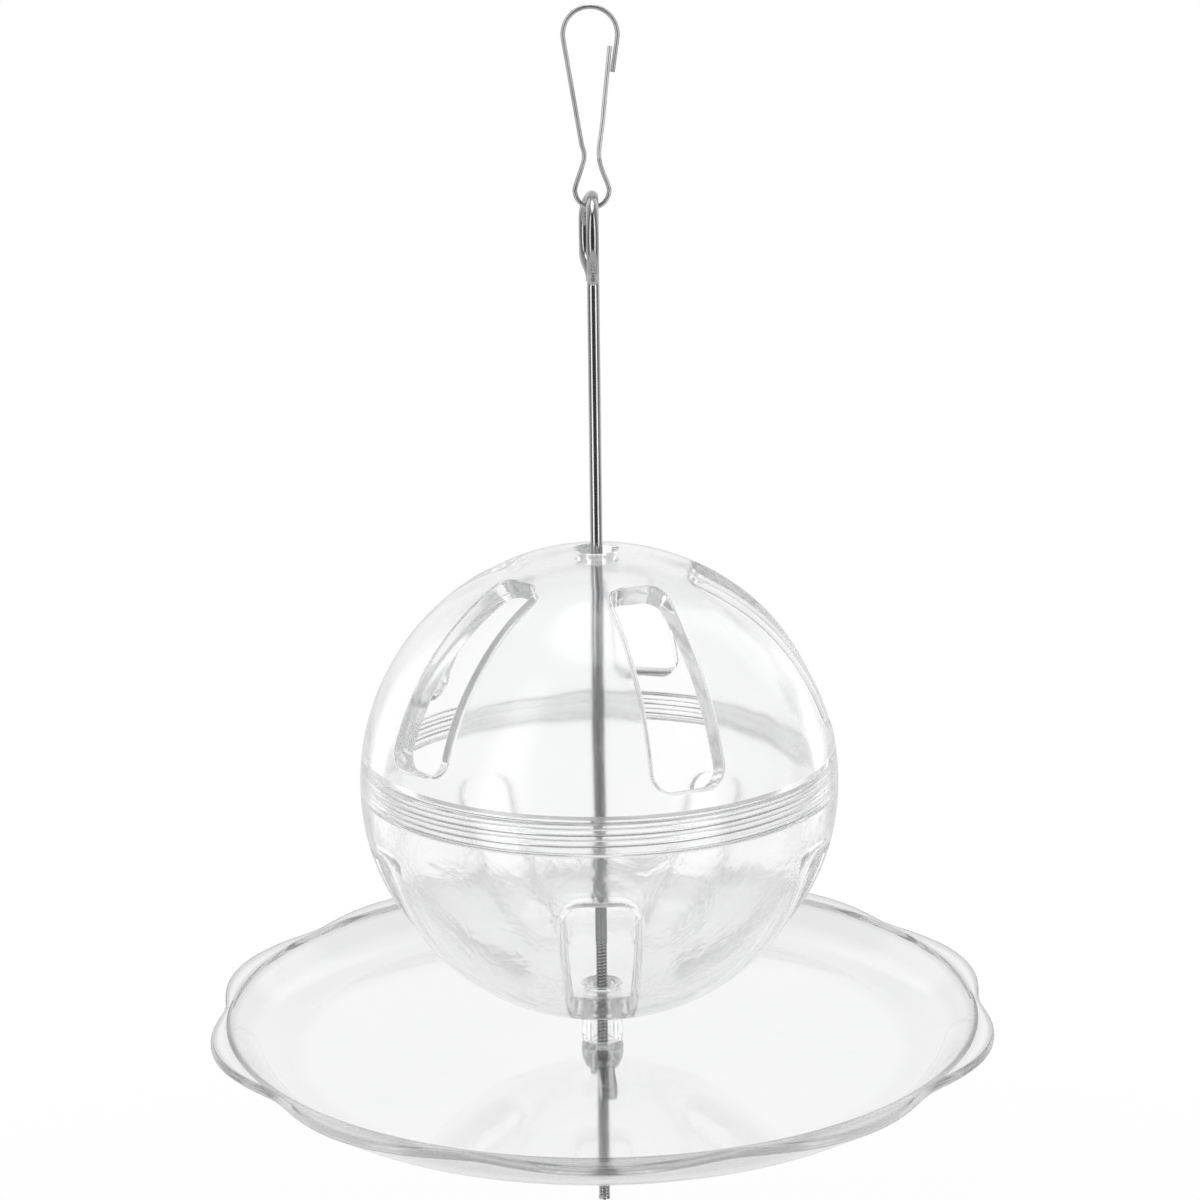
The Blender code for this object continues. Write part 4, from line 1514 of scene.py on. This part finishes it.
@dataclass
class Studio:
    """White floor, soft lamps and the camera of the photograph."""

    floor_z: float = -0.400
    floor_radius: float = 0.60
    floor_segments: int = 96
    whitening: Range = (0.12, 0.54)
    floor_colour: tuple[float, float, float] = (0.86, 0.86, 0.86)
    floor_lift: float = 0.80
    plain_light: float = 0.80
    raised_backdrop: float = 0.90
    inner_once: float = 0.42
    inner_again: float = 0.56
    inner_ahead: float = 0.92
    inner_strip: float = 0.80
    dark_front: float = 0.08
    dim_back: float = 0.75
    front_strip: float = 2.6
    back_strip: float = 0.5
    top_box: float = 4.0
    strip_azimuth: float = math.radians(47.0)
    strip_half_width: float = math.radians(10.0)
    strip_edge: Range = (1.5, 0.5)
    strip_ends: Range = (0.70, 0.95)
    front_to_back: Range = (-0.5, 0.5)
    backdrop_rise: Range = (math.sin(math.radians(10.0)), math.sin(math.radians(45.0)))
    ahead_edge: Range = (0.62, 0.80)
    ahead_foot: Range = (-0.36, -0.20)
    ahead_head: Range = (0.40, 0.60)
    wall_foot: Range = (-0.08, 0.12)
    top_edge: Range = (0.93, 0.97)
    least_level: float = 0.001
    camera_place: tuple[float, float, float] = (0.0006, -0.6072, 0.0313)
    camera_pitch: float = math.radians(-14.0)
    camera_roll: float = math.radians(-0.7)
    field_of_view: float = math.radians(22.42)
    nearest: float = 0.01
    light_bounces: int = 96
    target: tuple[float, float, float] = (0.0, 0.0, -0.150)

    def world(self) -> None:
        """Light the room: white to the camera and through plastic, dimmer where it is mirrored."""
        world = bpy.data.worlds.new("white_studio")
        bpy.context.scene.world = world
        world.use_nodes = True
        graph = Graph(world.node_tree)
        path = graph.node("ShaderNodeLightPath")
        camera = graph.term(path, "Is Camera Ray")
        through = graph.term(path, "Is Transmission Ray")
        mirrored = graph.term(path, "Is Glossy Ray")
        bounces = graph.term(path, "Glossy Depth")
        bounced = bounces.clamped()
        side, back, up = graph.parts(graph.node("ShaderNodeTexCoord").outputs["Generated"])
        level = spread(side, back).largest(self.least_level)
        turned = (abs(side) * math.sin(self.strip_azimuth) + abs(back) * math.cos(self.strip_azimuth)) / level
        strip = turned.step(*(math.cos(self.strip_half_width * share) for share in self.strip_edge))
        strip = strip * (1 - abs(up).step(*self.strip_ends))
        behind = back.step(*self.front_to_back)
        raised = up.step(*self.backdrop_rise)
        straight = 1 - (1 - self.raised_backdrop) * raised
        again = (bounces - 1).clamped()
        ahead = back.step(*self.ahead_edge) + (-back).step(*self.ahead_edge) * again
        ahead = ahead * up.step(*self.ahead_foot) * (1 - up.step(*self.ahead_head))
        aside = self.inner_once + (self.inner_again - self.inner_once) * again
        inside = aside + (self.inner_ahead - aside) * ahead + self.inner_strip * strip
        refracted = straight + (inside - straight) * bounced
        wall = self.dim_back + (1 - self.dim_back) * up.step(*self.wall_foot)
        room = self.dark_front + (wall - self.dark_front) * behind
        reflected = room + (self.front_strip + (self.back_strip - self.front_strip) * behind) * strip
        reflected = reflected + self.top_box * up.step(*self.top_edge)
        other = mirrored * reflected + (1 - mirrored) * self.plain_light
        seen = through * refracted + (1 - through) * other
        strength = camera + (1 - camera) * seen
        sky = world.node_tree.nodes["Background"]
        world.node_tree.links.new(strength.socket, sky.inputs["Strength"])
        sky.inputs["Color"].default_value = (1.0, 1.0, 1.0, 1.0)

    def floor(self) -> bpy.types.Object:
        """Lay a round pale floor that keeps the shadow, is white at its edge and clear from below.

        Returns:
            The floor.
        """
        bm = bmesh.new()
        bmesh.ops.create_circle(bm, cap_ends=True, segments=self.floor_segments, radius=self.floor_radius)
        mesh = bpy.data.meshes.new("pale_floor")
        bm.to_mesh(mesh)
        bm.free()
        mesh.transform(Matrix.Translation((0, 0, self.floor_z)))
        made = bpy.data.materials.new("pale_floor")
        made.use_nodes = True
        tree = made.node_tree
        graph = Graph(tree)
        path = graph.node("ShaderNodeLightPath")
        seen = graph.term(path, "Is Camera Ray").largest(graph.term(path, "Is Transmission Ray"))
        x, y, _ = graph.parts(graph.node("ShaderNodeTexCoord").outputs["Object"])
        outwards = spread(x, y).step(*self.whitening)
        lift = seen * (self.floor_lift + (1 - self.floor_lift) * outwards)
        matt = graph.node("ShaderNodeBsdfDiffuse", None, {"Color": (*self.floor_colour, 1.0)})
        glow = graph.node("ShaderNodeEmission", None, {"Color": (1.0, 1.0, 1.0, 1.0), "Strength": 1.0})
        mix = graph.node("ShaderNodeMixShader", None, {0: lift, 1: matt.outputs[0], 2: glow.outputs[0]})
        below = graph.node("ShaderNodeNewGeometry").outputs["Backfacing"]
        clear = graph.node("ShaderNodeBsdfTransparent")
        sheet = graph.node("ShaderNodeMixShader", None, {0: below, 1: mix.outputs[0], 2: clear.outputs[0]})
        tree.nodes.remove(tree.nodes["Principled BSDF"])
        tree.links.new(sheet.outputs[0], tree.nodes["Material Output"].inputs["Surface"])
        mesh.materials.append(made)
        floor = bpy.data.objects.new("pale_floor", mesh)
        bpy.context.collection.objects.link(floor)
        return floor

    def camera(self) -> bpy.types.Object:
        """Set up the camera at the photograph's viewing angle.

        Returns:
            The camera.
        """
        lens = bpy.data.cameras.new("photo_camera")
        lens.sensor_fit = "HORIZONTAL"
        lens.angle = self.field_of_view
        lens.clip_start = self.nearest
        eye = bpy.data.objects.new("photo_camera", lens)
        tilt = Matrix.Rotation(RIGHT_ANGLE + self.camera_pitch, 4, "X")
        roll = Matrix.Rotation(self.camera_roll, 4, "Z")
        eye.matrix_world = Matrix.Translation(self.camera_place) @ (tilt @ roll)
        bpy.context.collection.objects.link(eye)
        bpy.context.scene.camera = eye
        return eye

    def build(self) -> None:
        """Set up floor, lamps, world and camera."""
        scene = bpy.context.scene
        scene.view_settings.view_transform = "Standard"
        scene.cycles.max_bounces = self.light_bounces
        scene.cycles.transmission_bounces = self.light_bounces
        scene.cycles.glossy_bounces = self.light_bounces
        self.camera()
        self.world()
        self.floor()
        target = Vector(self.target)
        for lamp in (LEFT_SOFTBOX, RIGHT_SOFTBOX, TOP_SOFTBOX):
            lamp.build(target)
            LOG.info("%s: %.1f W", lamp.name, lamp.power)


def main() -> None:
    """Build the toy from the clip down, then the studio."""
    logging.basicConfig(level=logging.INFO, format="%(name)s: %(message)s")
    SnapClip().build()
    HangingRod().build()
    upper = BallHalf(Half.UPPER, slot_azimuth=math.radians(22.0))
    upper.build("ball_upper_shell", Body.BALL_UPPER, "ball_upper_half")
    lower = BallHalf(Half.LOWER, slot_azimuth=0.0, edge_round=0.0014, slot_shade=0.22, shade_rise=0.25)
    lower.build("ball_lower_shell", Body.BALL_LOWER, "ball_lower_half")
    SpacerBush().build()
    CatchTray().build()
    WingNut().build()
    Studio().build()


if __name__ == "__main__":
    main()
